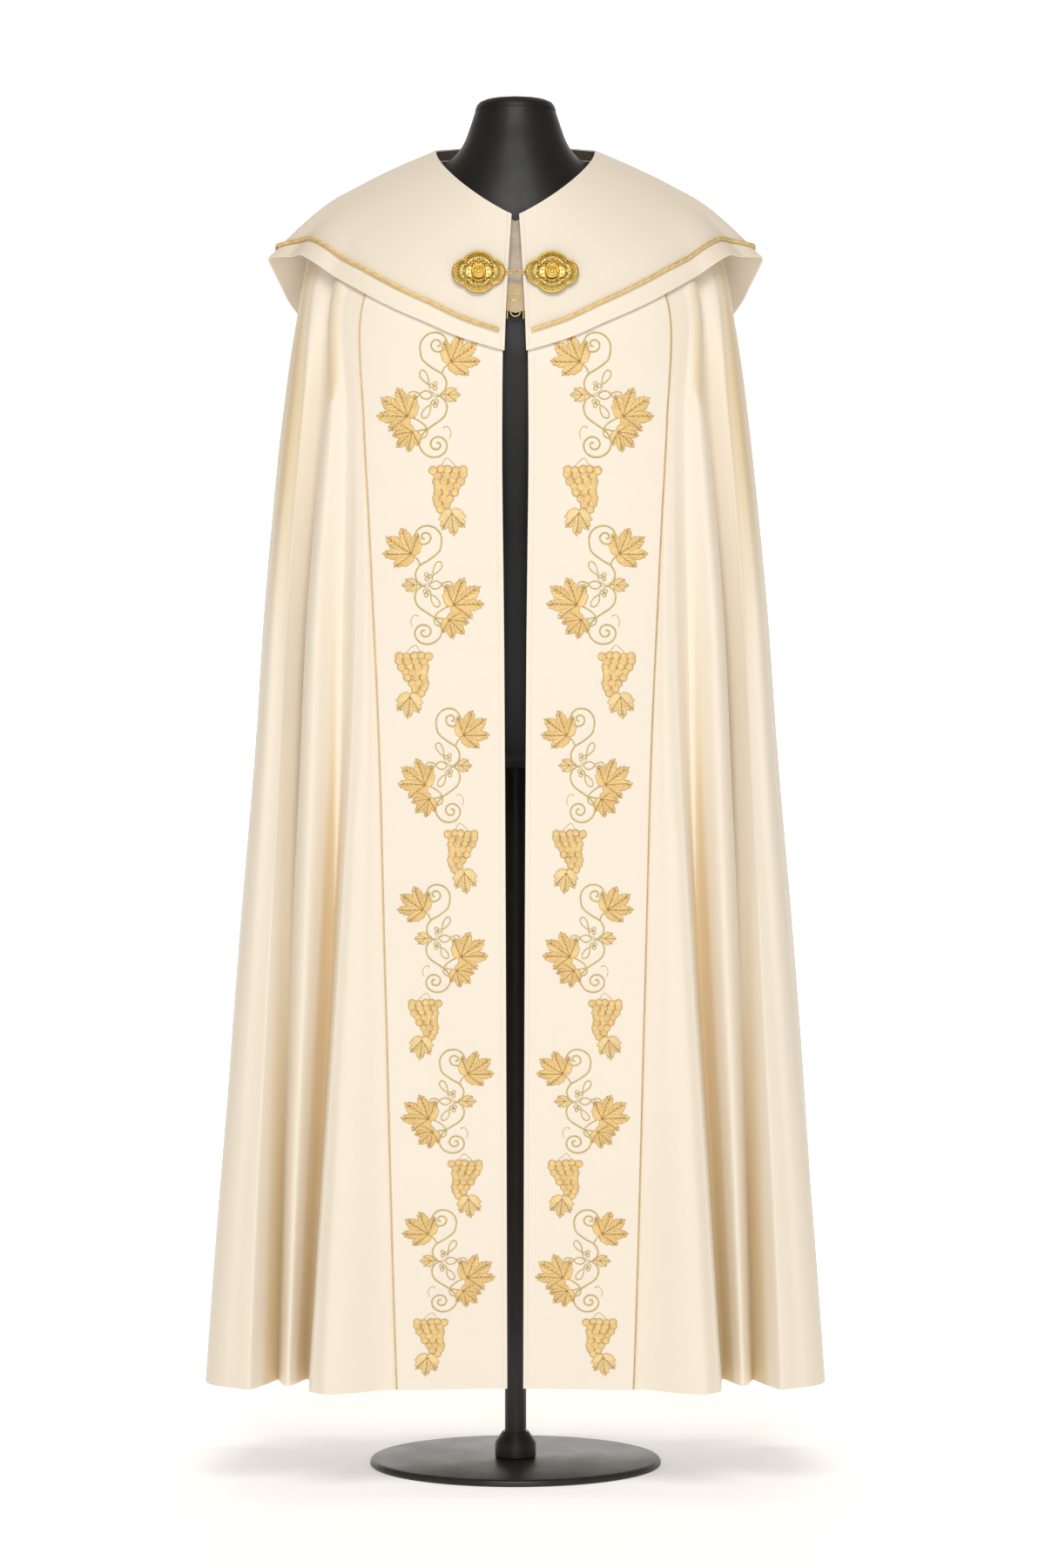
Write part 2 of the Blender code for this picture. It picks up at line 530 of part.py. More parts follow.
def collar_ring(name, hole, radius, bottom, top):
    """The socket that the pole stands in, a ring with a sloping shoulder."""
    profile = [(hole, bottom), (radius, bottom), (radius, bottom + (top - bottom) * COLLAR_SHOULDER),
               (hole + COLLAR_LIP, top), (hole, top)]
    sides = 24
    angles = np.linspace(0, 2 * math.pi, sides, endpoint=False)
    rings = np.array([[(r * math.cos(a), r * math.sin(a), z) for a in angles] for r, z in profile])
    rows = len(profile)
    faces = [
        (r * sides + c, r * sides + (c + 1) % sides,
         (r + 1) % rows * sides + (c + 1) % sides, (r + 1) % rows * sides + c)
        for r in range(rows) for c in range(sides)
    ]
    new_object(name, rings.reshape(-1, 3), faces, "black_metal")


def main():
    for thing in list(bpy.data.objects):
        bpy.data.objects.remove(thing, do_unlink=True)
    mantle()
    bands()
    hood()
    closing_tab()
    clasp()
    form()


main()
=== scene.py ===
"""Cope vestment on a limbless dress form: what shows of it, its finishes, the stage, lights and camera.

Metres, +Z up.  The wearer faces -Y and the wearer's left is +X.  The cloth lies on one draped surface,
draped(angle, drop): angle runs round the body in degrees from the centre front, positive on the wearer's
left, and drop runs down the cloth from 0 at the neckline to 1 at the hem.
"""

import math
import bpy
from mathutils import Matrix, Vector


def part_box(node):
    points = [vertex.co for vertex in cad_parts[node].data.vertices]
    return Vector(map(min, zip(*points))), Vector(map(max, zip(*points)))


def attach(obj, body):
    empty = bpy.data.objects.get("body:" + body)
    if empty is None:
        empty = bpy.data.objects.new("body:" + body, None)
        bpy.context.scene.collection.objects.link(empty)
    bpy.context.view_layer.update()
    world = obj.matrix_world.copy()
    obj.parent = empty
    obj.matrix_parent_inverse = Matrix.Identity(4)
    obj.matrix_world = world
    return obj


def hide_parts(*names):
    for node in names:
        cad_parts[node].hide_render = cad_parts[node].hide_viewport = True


bl_info = {
    "name": "Cope on a dress form",
    "version": (1, 0, 0),
    "blender": (4, 5, 0),
    "location": "View3D > Sidebar > Cope",
    "description": "Builds a draped cope with its embroidery, cords and clasp, and the form it stands on",
    "category": "Add Mesh",
}

import bpy
import numpy as np
from mathutils import Vector

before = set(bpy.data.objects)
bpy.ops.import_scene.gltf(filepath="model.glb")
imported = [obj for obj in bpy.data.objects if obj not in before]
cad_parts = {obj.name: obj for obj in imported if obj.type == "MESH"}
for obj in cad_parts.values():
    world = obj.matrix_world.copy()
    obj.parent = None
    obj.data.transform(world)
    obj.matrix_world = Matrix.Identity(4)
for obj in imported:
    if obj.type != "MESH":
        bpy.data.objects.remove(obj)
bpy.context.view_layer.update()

# ---------------------------------------------------------------- the cut and the drape

# Between layers that lie on each other, and across a seam.
LAYER_GAP = 0.0006
SEAM_GAP = 0.0003
# How much lower the surface's outward direction points at the hem, and how much of the folds' depth goes
# sideways at the front, where the folds stand forward.
HEM_DIP = 0.10
FORWARD_FOLDS = 0.3
# Steps in degrees and drops for the surface's slopes, and a small lift that gives a path its outward side.
TURN_STEP = 0.05
DROP_STEP = 0.002
OUTWARD_STEP = 0.001

# Where each cloth starts and ends in drops, and the bands' width at the hem.
MANTLE_TOP = 0.012
BAND_TOP = 0.085
TAB_TOP = 0.002
TAB_BOTTOM = 0.097
TAB_HALF_WIDTH = 0.042
TAB_BEHIND = 0.0024
BAND_HEM_WIDTH = 0.125
# The strip turned under along a front edge, and how far the pressed edge stands above the cloth beside it.
TURNED_WIDTH = 0.0045
TURNED_RISE = 0.0004

# The hood's stand-off at the front and how much it grows at the middle back, how late it flares towards its
# edge, how its rows crowd at the back, and where its cord starts in half gaps from the centre front.
HOOD_EASE = 0.0062
HOOD_BACK_EASE = 0.006
HOOD_FLARE_POWER = 5.0
HOOD_BACK_POWER = 1.7
HOOD_CORD_START = 1.6
# A cord's ply: its radius, and the length of its full turn, in radii of the cord.
PLY_SHARE = 0.56
CORD_TWIST = 5.5

# Columns: drop, x and z at the side, y and z at the centre front, y and z at the centre back, squareness.
SECTIONS = np.array([
    (0.000, 0.091, 1.532, -0.108, 1.444, 0.072, 1.552, 0.20),
    (0.040, 0.135, 1.513, -0.120, 1.403, 0.110, 1.520, 0.30),
    (0.075, 0.175, 1.492, -0.130, 1.360, 0.138, 1.472, 0.40),
    (0.110, 0.216, 1.461, -0.137, 1.318, 0.156, 1.415, 0.50),
    (0.145, 0.242, 1.412, -0.142, 1.277, 0.168, 1.356, 0.58),
    (0.190, 0.2535, 1.345, -0.147, 1.235, 0.176, 1.290, 0.64),
    (0.250, 0.2655, 1.255, -0.152, 1.180, 0.184, 1.200, 0.70),
    (0.330, 0.2785, 1.140, -0.157, 1.100, 0.192, 1.110, 0.74),
    (0.420, 0.292, 1.000, -0.163, 0.985, 0.200, 0.985, 0.78),
    (0.530, 0.305, 0.830, -0.170, 0.830, 0.211, 0.830, 0.82),
    (0.680, 0.3255, 0.610, -0.180, 0.610, 0.228, 0.610, 0.88),
    (0.840, 0.345, 0.370, -0.192, 0.370, 0.248, 0.370, 0.96),
    (1.000, 0.3620, 0.117, -0.205, 0.117, 0.270, 0.117, 1.05),
])

# The lines that run down the mantle: name, angle and stand-off at each drop in LINE_DROPS, and how sharply
# the cloth turns at the line, from 0 for a round crest to 1 for a pleat.
LINE_DROPS = np.array([0.0, 0.15, 0.25, 0.46, 0.72, 1.0])
EDGE_HALF_GAP = np.array([0.0055, 0.0145, 0.0150, 0.0125, 0.0105, 0.0090])
LINES = [
    ("front edge", (0, 0, 0, 0, 0, 0), (0, 0, 0, 0, 0, 0), 0),
    ("band seam", (47, 43.3, 36.5, 27.7, 21.4, 16.3), (0, 0, 0, 0, 0.003, 0.012), 0),
    ("flat's end", (49, 45, 37.6, 30.4, 29, 27.6), (0, 0, 0, 0.004, 0.015, 0.050), 0),
    ("first crest", (51, 46.8, 38.7, 33, 31.4, 30.6), (0, 0, 0, 0.002, 0.010, 0.038), 0.3),
    ("first trough", (54, 50.5, 42.5, 37.6, 34.4, 33.2), (0, 0, -0.003, -0.023, -0.040, -0.046), 0.2),
    ("second crest", (57.5, 55, 47.5, 44.6, 39.9, 36.4), (0, 0.003, 0.007, 0.009, 0.008, 0.005), 0),
    ("second trough", (62, 62, 57.6, 55.2, 47.2, 41), (0, -0.012, -0.026, -0.030, -0.028, -0.034), 0.5),
    ("side lobe", (70, 70.5, 62.2, 55.6, 49.4, 44), (0, 0, 0.004, 0.011, 0.023, 0.047), 0),
    ("lobe's side", (77, 77, 67, 60.6, 55.2, 50.5), (0, 0.002, 0.0095, 0.019, 0.0275, 0.0455), 0),
    ("silhouette", (92, 86, 78, 76, 73, 71), (0, 0.001, 0.005, 0.006, 0.005, 0.001), 0),
    ("side seam", (106, 106, 106, 106, 106, 106), (0, 0, -0.004, -0.016, -0.030, -0.046), 0.4),
    ("third crest", (118, 118, 118, 118, 118, 119), (0, 0, 0.002, 0.008, 0.014, 0.022), 0),
    ("third trough", (131, 131, 131, 131, 132, 133), (0, 0, -0.004, -0.016, -0.034, -0.052), 0.5),
    ("fourth crest", (143, 143, 143, 144, 145, 146), (0, 0, 0.001, 0.006, 0.014, 0.020), 0),
    ("fourth trough", (156, 156, 156, 157, 158, 159), (0, 0, -0.003, -0.014, -0.028, -0.046), 0.5),
    ("fifth crest", (168, 168, 168, 168, 169, 170), (0, 0, 0.001, 0.008, 0.018, 0.024), 0),
    ("centre back", (180, 180, 180, 180, 180, 180), (0, 0, 0, -0.006, -0.016, -0.026), 0.3),
]
SIDE_SEAM_LINE = 10
# Columns of the mantle's mesh between its lines, and its rows.
FRONT_SEGMENTS = [16, 12, 10, 14, 14, 16, 16, 12, 10, 12]
BACK_SEGMENTS = [14, 15, 15, 15, 15, 14]
MANTLE_ROWS = 156

# Drops over which a small crease grows at its top and dies away at its bottom, unless it runs to the hem.
CREASE_HEAD = 0.20
CREASE_FOOT = 0.15
# Small creases down the cloth.  Columns: side (1 left, -1 right, 0 both), line and drop at the top, line
# and drop at the bottom, half width in lines, depth in metres (positive stands out).
CREASES = np.array([
    (0, 1.30, 0.30, 1.42, 0.75, 0.22, -0.0008),
    (0, 1.62, 0.45, 1.55, 1.00, 0.25, 0.0014),
    (-1, 1.85, 0.62, 1.72, 0.90, 0.14, -0.0010),
    (1, 1.80, 0.56, 1.70, 0.84, 0.14, -0.0009),
    (0, 4.55, 0.22, 4.50, 0.62, 0.26, -0.0012),
    (-1, 5.40, 0.30, 5.35, 0.95, 0.24, 0.0014),
    (1, 5.45, 0.34, 5.30, 0.90, 0.24, 0.0012),
    (0, 6.45, 0.16, 6.50, 0.46, 0.26, -0.0014),
    (-1, 7.45, 0.30, 7.60, 1.00, 0.24, -0.0010),
    (1, 7.50, 0.36, 7.62, 1.00, 0.24, -0.0012),
    (0, 8.55, 0.26, 8.70, 0.92, 0.24, -0.0026),
    (-1, 9.30, 0.30, 9.20, 1.00, 0.25, -0.0050),
    (1, 9.45, 0.26, 9.30, 1.00, 0.25, -0.0045),
    (-1, 10.60, 0.34, 10.50, 1.00, 0.22, 0.0050),
    (1, 10.45, 0.42, 10.60, 1.00, 0.22, 0.0055),
    (-1, 11.50, 0.40, 11.42, 1.00, 0.20, -0.0045),
    (1, 11.45, 0.36, 11.55, 0.95, 0.20, -0.0050),
    (-1, 12.50, 0.42, 12.55, 1.00, 0.22, 0.0050),
    (1, 12.55, 0.50, 12.45, 1.00, 0.20, 0.0045),
    (-1, 13.50, 0.44, 13.40, 0.95, 0.20, -0.0040),
    (1, 13.42, 0.40, 13.50, 1.00, 0.22, -0.0050),
    (-1, 14.55, 0.46, 14.45, 1.00, 0.20, 0.0045),
    (1, 14.45, 0.50, 14.55, 0.96, 0.20, 0.0040),
    (-1, 15.40, 0.44, 15.50, 1.00, 0.22, -0.0040),
    (1, 15.55, 0.48, 15.45, 1.00, 0.20, -0.0045),
])

# Soft ripples across the cloth.  Columns: side, line, drop, lean (drops to a line), half length in lines,
# half width in drops, depth in metres.
RIPPLES = np.array([
    (0, 0.10, 0.372, 0.020, 0.55, 0.010, -0.0018),
    (0, 0.12, 0.395, 0.015, 0.50, 0.012, 0.0014),
    (0, 0.95, 0.378, -0.015, 0.40, 0.012, -0.0014),
    (0, 0.55, 0.300, 0.010, 0.45, 0.014, 0.0010),
    (0, 0.40, 0.470, 0.010, 0.60, 0.010, -0.0010),
    (0, 0.15, 0.455, -0.010, 0.30, 0.008, 0.0012),
    (-1, 0.70, 0.560, -0.012, 0.50, 0.012, -0.0010),
    (1, 0.65, 0.572, -0.010, 0.50, 0.012, -0.0010),
    (-1, 0.20, 0.640, 0.012, 0.50, 0.012, 0.0010),
    (1, 0.25, 0.655, 0.010, 0.50, 0.012, 0.0010),
    (0, 0.50, 0.735, 0.006, 0.70, 0.010, -0.0012),
    (0, 0.60, 0.830, -0.006, 0.60, 0.012, 0.0010),
    (0, 0.35, 0.915, 0.010, 0.70, 0.012, -0.0012),
    (0, 0.20, 0.965, -0.006, 0.60, 0.010, 0.0012),
    (-1, 1.60, 0.580, 0.030, 0.40, 0.020, -0.0018),
    (1, 1.62, 0.600, 0.030, 0.40, 0.020, -0.0018),
    (0, 1.50, 0.800, -0.020, 0.50, 0.018, -0.0014),
])

# The hood's lower edge.  Columns: angle, drop, how far the edge stands off the mantle, and the cord's
# height above the edge, in drops.
HOOD_EDGE = np.array([
    (0, 0.138, 0.0062, 0.0175), (12, 0.138, 0.0062, 0.0175), (25, 0.135, 0.0062, 0.0170),
    (46, 0.1345, 0.0062, 0.0158), (58, 0.136, 0.0075, 0.0146), (67, 0.137, 0.0190, 0.0140),
    (74, 0.1385, 0.0235, 0.0130), (81, 0.1435, 0.0240, 0.0118), (91, 0.1525, 0.0475, 0.0086),
    (94, 0.1535, 0.0465, 0.0088), (106, 0.168, 0.0360, 0.0120), (118, 0.182, 0.0360, 0.0160),
    (135, 0.230, 0.0340, 0.0175), (150, 0.290, 0.0280, 0.0175), (165, 0.350, 0.0220, 0.0175),
    (180, 0.370, 0.0190, 0.0175),
])
# Half the gap between the hood's front edges.  Columns: drop, half gap.
HOOD_FRONT_GAP = np.array([(0, 0.0045), (0.04, 0.0070), (0.10, 0.0108), (0.14, 0.0125)])
# The drop of the hood's cord at the centre front.
FRONT_CORD_DROP = HOOD_EDGE[0, 1] - HOOD_EDGE[0, 3]

# Sections of the form's torso, in the columns of SECTIONS without the drop.
TORSO = np.array([
    (0.0475, 1.5817, -0.050, 1.5817, 0.056, 1.5817, 0.20),
    (0.0535, 1.564, -0.055, 1.561, 0.060, 1.566, 0.20),
    (0.0590, 1.549, -0.062, 1.540, 0.065, 1.553, 0.20),
    (0.0700, 1.532, -0.071, 1.508, 0.072, 1.537, 0.20),
    (0.0900, 1.518, -0.086, 1.455, 0.083, 1.522, 0.22),
    (0.1300, 1.500, -0.106, 1.402, 0.103, 1.503, 0.30),
    (0.1680, 1.478, -0.117, 1.360, 0.127, 1.462, 0.40),
    (0.2010, 1.446, -0.124, 1.318, 0.144, 1.408, 0.48),
    (0.2140, 1.405, -0.129, 1.277, 0.155, 1.352, 0.52),
    (0.2060, 1.345, -0.131, 1.230, 0.161, 1.290, 0.52),
    (0.1900, 1.250, -0.128, 1.180, 0.158, 1.200, 0.50),
    (0.1670, 1.150, -0.119, 1.110, 0.143, 1.115, 0.45),
    (0.1540, 1.065, -0.111, 1.055, 0.130, 1.055, 0.42),
    (0.1610, 0.985, -0.114, 0.985, 0.140, 0.985, 0.45),
    (0.1750, 0.905, -0.119, 0.905, 0.152, 0.905, 0.50),
    (0.1740, 0.850, -0.115, 0.850, 0.148, 0.850, 0.50),
    (0.1600, 0.825, -0.102, 0.825, 0.135, 0.825, 0.50),
    (0.1150, 0.815, -0.065, 0.815, 0.095, 0.815, 0.45),
])


def smooth(where, knots, values):
    """Values of the monotone cubic through the knots: no bump beyond a row's own value."""
    knots = np.asarray(knots, float)
    values = np.asarray(values, float)
    step = np.diff(knots)
    step = step.reshape((-1,) + (1,) * (values.ndim - 1))
    rise = np.diff(values, axis=0) / step
    product = rise[:-1] * rise[1:]
    mean = 2 * product / np.where(product > 0, rise[:-1] + rise[1:], 1)
    slope = np.concatenate([rise[:1], np.where(product > 0, mean, 0), rise[-1:]])
    where = np.clip(np.asarray(where, float), knots[0], knots[-1])
    i = np.clip(np.searchsorted(knots, where, side="right") - 1, 0, len(knots) - 2)
    spread = where.shape + (1,) * (values.ndim - 1)
    h = (knots[i + 1] - knots[i]).reshape(spread)
    t = (where - knots[i]).reshape(spread) / h
    return ((1 + 2 * t) * (1 - t) ** 2 * values[i] + t * (1 - t) ** 2 * h * slope[i]
            + t * t * (3 - 2 * t) * values[i + 1] - t * t * (1 - t) * h * slope[i + 1])


def ring(angle, section):
    """A ring's points: x and y follow tanh of the sine and cosine, squarer as the last column grows."""
    side_x, side_z, front_y, front_z, back_y, back_z, square = np.moveaxis(section, -1, 0)
    across = np.sin(np.radians(angle))
    along = np.cos(np.radians(angle))
    x = side_x * np.tanh(square * across) / np.tanh(square)
    y = np.where(along > 0, front_y, back_y) * np.tanh(square * abs(along)) / np.tanh(square)
    near_centre = 0.5 * abs(along) + 0.5 * (1 - abs(across))
    z = side_z + (np.where(along > 0, front_z, back_z) - side_z) * near_centre
    return np.stack([x, y, z], -1)


def section_at(drop):
    """The draped surface's section at a drop."""
    return smooth(drop, SECTIONS[:, 0], SECTIONS[:, 1:])


def draped(angle, drop, out=0.0):
    """Points of the draped surface, moved out: sideways at the sides, forward in front, down at the hem."""
    angle, drop, out = np.broadcast_arrays(angle, drop, out)
    section = section_at(drop)
    round_way = ring(angle + TURN_STEP, section) - ring(angle - TURN_STEP, section)
    below = section_at(np.minimum(drop + DROP_STEP, 1))
    above = section_at(np.maximum(drop - DROP_STEP, 0))
    outward = np.cross(ring(angle, below) - ring(angle, above), round_way)
    outward[..., 0] *= FORWARD_FOLDS + (1 - FORWARD_FOLDS) * np.sin(np.radians(angle)) ** 4
    outward /= np.linalg.norm(outward, axis=-1, keepdims=True)
    outward[..., 2] -= HEM_DIP * drop ** 6
    return ring(angle, section) + outward * out[..., None]


def angle_at(x, drop):
    """The angle at which the front of a ring passes x."""
    section = section_at(drop)
    side_x, square = section[..., 0], section[..., -1]
    return np.degrees(np.arcsin(np.arctanh(x / side_x * np.tanh(square)) / square))


def bell(distance):
    """1 at no distance, falling smoothly to nothing beyond 2."""
    return np.exp(-distance ** 2)


def fade_in(part):
    """A soft step from 0 to 1 as the part goes from 0 to 1."""
    return part * part * (3 - 2 * part)


def creased(line, drop, side):
    """How far the small creases and ripples stand out: each is a bell across its line, with faded ends."""
    out = np.zeros(np.broadcast(line, drop).shape)
    for which, top_line, top, bottom_line, bottom, width, depth in CREASES:
        if which in (0, side):
            along = np.clip((drop - top) / (bottom - top), 0, 1)
            end = 1.0 if bottom == 1.0 else np.clip((bottom - drop) / CREASE_FOOT, 0, 1)
            fade = np.clip((drop - top) / CREASE_HEAD, 0, 1) * end
            centre = top_line + (bottom_line - top_line) * along
            out = out + depth * fade * bell((line - centre) / width)
    for which, centre, at, lean, length, width, depth in RIPPLES:
        if which in (0, side):
            across = (drop - at - lean * (line - centre)) / width
            out = out + depth * bell(across) * bell((line - centre) / length)
    return out


def line_rows(drop):
    """The angle and the stand-off of every line at each drop."""
    angles = np.array([smooth(drop, LINE_DROPS, row[1]) for row in LINES])
    angles[0] = angle_at(smooth(drop, LINE_DROPS, EDGE_HALF_GAP), drop)
    return angles, np.array([smooth(drop, LINE_DROPS, row[2]) for row in LINES])


def folded(line, drop, side, out=0.0):
    """Points of the mantle, folds included; line counts along LINES, side is 1 left or -1 right.

    Between two lines the stand-off follows a soft step, or a quarter wave that is steep at a pleat.
    """
    line, drop = np.broadcast_arrays(line, drop)
    angles, reliefs = line_rows(drop)
    first = np.minimum(line.astype(int), len(LINES) - 2)
    part = line - first
    rows, columns = np.indices(line.shape)
    sharp = np.array([row[3] for row in LINES])
    soft = fade_in(part)
    blend = soft + (np.sin(part * math.pi / 2) - soft) * sharp[first]
    blend += (1 - np.cos(part * math.pi / 2) - soft) * sharp[first + 1]
    a0, a1 = angles[first, rows, columns], angles[first + 1, rows, columns]
    r0, r1 = reliefs[first, rows, columns], reliefs[first + 1, rows, columns]
    relief = r0 + (r1 - r0) * blend + creased(line, drop, side)
    return draped(side * (a0 + (a1 - a0) * part), drop, relief + out)


def hood_points(angle, row, out=0.0):
    """Points of the hood: the draped surface moved out, and flaring towards its lower edge.

    row is 0 at the neckline, 1 at the cord and 2 at the edge.
    """
    angle, row = np.broadcast_arrays(angle, row)
    edge, stand, above = np.moveaxis(smooth(abs(angle), HOOD_EDGE[:, 0], HOOD_EDGE[:, 1:]), -1, 0)
    length = (edge - HOOD_EDGE[0, 1]) / (HOOD_EDGE[-1, 1] - HOOD_EDGE[0, 1])
    drop = (edge - above) * np.minimum(row, 1) ** (1 + (HOOD_BACK_POWER - 1) * length)
    drop = drop + above * np.maximum(row - 1, 0)
    part = drop / edge
    lift = HOOD_EASE + HOOD_BACK_EASE * length * np.sin(math.pi * part) ** 2
    lift = lift + (stand - HOOD_EDGE[0, 2]) * part ** HOOD_FLARE_POWER
    return draped(angle, drop, lift + out)


def front_drop(x, z, newton_steps=6):
    """The drop at which the front of the draped surface passes x and z."""
    drop = np.interp(-z, -SECTIONS[:, 4], SECTIONS[:, 0])
    for _ in range(newton_steps):
        here = ring(angle_at(x, drop), section_at(drop))[..., 2]
        below = ring(angle_at(x, drop + DROP_STEP), section_at(drop + DROP_STEP))[..., 2]
        drop = np.clip(drop + (z - here) / (below - here) * DROP_STEP, 0.0, 0.996)
    return drop


def on_band(x, z, side, out):
    """Points on the band's front at x and z, moved out; x counts from the middle to the band's side."""
    drop = front_drop(x, z)
    angle = angle_at(x, drop)
    angles, reliefs = line_rows(drop)
    part = np.clip((angle - angles[0]) / (angles[1] - angles[0]), 0, 1)
    relief = reliefs[1] * fade_in(part) + creased(part, drop, side)
    return draped(side * angle, drop, relief + out)


# ---------------------------------------------------------------- meshes

TINY = 1e-12


def quad_grid(rows, columns, closed=False):
    """The faces of a grid stored row by row; a closed grid joins its last column to its first."""
    r, c = np.meshgrid(np.arange(rows - 1), np.arange(columns if closed else columns - 1), indexing="ij")
    here, beside = r * columns + c, r * columns + (c + 1) % columns
    return np.stack([here, beside, beside + columns, here + columns], -1).reshape(-1, 4)


def new_piece(name, points, faces, finishes, uv=None, slots=None, smooth_angle=50):
    """An object that rides on the part, from points and faces, with finishes and a UV for each point."""
    mesh = bpy.data.meshes.new(name)
    mesh.from_pydata(points.reshape(-1, 3).tolist(), [], [list(map(int, face)) for face in faces])
    for material in finishes:
        mesh.materials.append(material)
    if slots is not None:
        mesh.polygons.foreach_set("material_index", np.asarray(slots, np.int32))
    if uv is not None:
        corners = np.empty(len(mesh.loops), np.int32)
        mesh.loops.foreach_get("vertex_index", corners)
        layer = mesh.uv_layers.new(name="UVMap")
        layer.data.foreach_set("uv", uv.reshape(-1, 2)[corners].astype(np.float32).ravel())
    mesh.shade_smooth()
    mesh.set_sharp_from_angle(angle=math.radians(smooth_angle))
    thing = bpy.data.objects.new(name, mesh)
    bpy.context.scene.collection.objects.link(thing)
    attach(thing, "root")
    return thing


def cloth_uv(grid):
    """Lengths along the cloth in metres: across each row from its middle, and down each column."""
    across = np.linalg.norm(np.diff(grid, axis=1), axis=-1).cumsum(1)
    across = np.concatenate([np.zeros((len(grid), 1)), across], 1)
    down = np.linalg.norm(np.diff(grid, axis=0), axis=-1).cumsum(0)
    down = np.concatenate([np.zeros((1, grid.shape[1])), down], 0)
    return np.stack([across - across[:, grid.shape[1] // 2, None], down], -1)


def shell(name, outer, inner, finish):
    """A sheet of cloth as a closed shell between two grids, the outer one first."""
    rows, columns = outer.shape[:2]
    size = rows * columns
    rim = np.concatenate([
        np.arange(columns), np.arange(1, rows) * columns + columns - 1,
        (rows - 1) * columns + np.arange(columns - 2, -1, -1), np.arange(rows - 2, 0, -1) * columns,
    ])
    beyond = np.roll(rim, -1)
    front = quad_grid(rows, columns)
    faces = np.concatenate([
        front, front[:, ::-1] + size, np.stack([rim + size, beyond + size, beyond, rim], -1),
    ])
    r, c = rows // 2, columns // 2
    beside, below = outer[r, c + 1] - outer[r, c], outer[r + 1, c] - outer[r, c]
    if np.dot(np.cross(beside, below), outer[r, c] - inner[r, c]) < 0:
        faces = faces[:, ::-1]
    uv = cloth_uv(outer)
    return new_piece(name, np.stack([outer, inner]), faces, [finish], np.stack([uv, uv]))


def lengths_along(path):
    """How far along a path each of its points lies."""
    return np.concatenate([[0], np.linalg.norm(np.diff(path, axis=0), axis=-1).cumsum()])


def directions(path, out, closed=False):
    """The unit directions across a path and up from it, given about where out is."""
    ahead = np.roll(path, -1, 0) - np.roll(path, 1, 0) if closed else np.gradient(path, axis=0)
    across = np.cross(ahead, out)
    across /= np.linalg.norm(across, axis=-1, keepdims=True) + TINY
    up = np.cross(across, ahead)
    up /= np.linalg.norm(up, axis=-1, keepdims=True) + TINY
    return across, up


def sweep(path, out, width, height, profile, closed=False):
    """A profile carried along a path: its first number goes across the path, its second along out."""
    path, out = np.asarray(path, float), np.broadcast_to(out, np.shape(path))
    across, up = directions(path, out, closed)
    width, height = np.broadcast_to(width, len(path)), np.broadcast_to(height, len(path))
    rings = path[:, None] + across[:, None] * (width[:, None] * profile[:, 0])[..., None]
    rings = rings + up[:, None] * (height[:, None] * profile[:, 1])[..., None]
    round_it = np.arange(len(profile)) / len(profile)
    uv = np.stack(np.broadcast_arrays(round_it, lengths_along(path)[:, None]), -1)
    return tube_mesh(rings, uv, closed)


def tube_mesh(rings, uv, closed=False):
    """Points, faces and UVs of a tube of rings; a middle point closes each end unless it is a loop."""
    rows, columns = rings.shape[:2]
    faces = quad_grid(rows, columns, closed=True)[:, ::-1]
    points, places = rings.reshape(-1, 3), uv.reshape(-1, 2)
    c, d, final = np.arange(columns), (np.arange(columns) + 1) % columns, (rows - 1) * columns
    if closed:
        last = np.stack([final + d, final + c, c, d], -1)
        return points, [*faces, *last], places
    size = len(points)
    points = np.concatenate([points, rings[0].mean(0)[None], rings[-1].mean(0)[None]])
    places = np.concatenate([places, uv[0].mean(0)[None], uv[-1].mean(0)[None]])
    start = np.stack([np.full(columns, size), c, d], -1)
    end = np.stack([np.full(columns, size + 1), final + d, final + c], -1)
    return points, [*faces, *start, *end], places


def even_turns(count):
    """Angles in radians, evenly spaced round a circle."""
    return np.linspace(0, 2 * math.pi, count, endpoint=False)


def circle(count):
    """Points of the unit circle."""
    turn = even_turns(count)
    return np.stack([np.cos(turn), np.sin(turn)], -1)


def rings_round(middle, turn, reach, height):
    """Points round a middle: how far out and how high they lie at each turn, given in radians."""
    x, y = middle[0] + reach * np.cos(turn), middle[1] + reach * np.sin(turn)
    return np.stack(np.broadcast_arrays(x, y, height), -1)


def closed_dome(rings, places):
    """A tube mesh from rings that grow outwards, seen from above, with flat UVs."""
    return tube_mesh(rings[:, ::-1], places[:, ::-1])


# Profiles of a couched thread, which is flat below: across and up.
RIDGE = np.array([(1, -0.15), (0.72, 0.65), (0, 1), (-0.72, 0.65), (-1, -0.15), (0, -0.2)])
THIN_RIDGE = np.array([(1, -0.15), (0, 1), (-1, -0.15), (0, -0.2)])


class Heap:
    """Collects points, faces, UVs and finish numbers of many small shapes into one mesh."""

    def __init__(self):
        self.points, self.faces, self.uv, self.slots, self.size = [], [], [], [], 0

    def add(self, shape, slots=0):
        """Adds a shape; slots is its faces' finish number, or a list with one for each."""
        points, faces, uv = shape
        self.points.append(points)
        self.faces += [[int(i) + self.size for i in face] for face in faces]
        self.uv.append(uv)
        self.slots += slots if isinstance(slots, list) else [slots] * len(faces)
        self.size += len(points)

    def arrays(self):
        return np.concatenate(self.points), self.faces, np.concatenate(self.uv), self.slots


def even_path(points, spacing):
    """A path with evenly spaced points along straight runs between the given ones."""
    length = lengths_along(points)
    where = np.linspace(0, length[-1], max(2, int(length[-1] / spacing)))
    return np.stack([np.interp(where, length, points[:, k]) for k in range(points.shape[1])], -1)


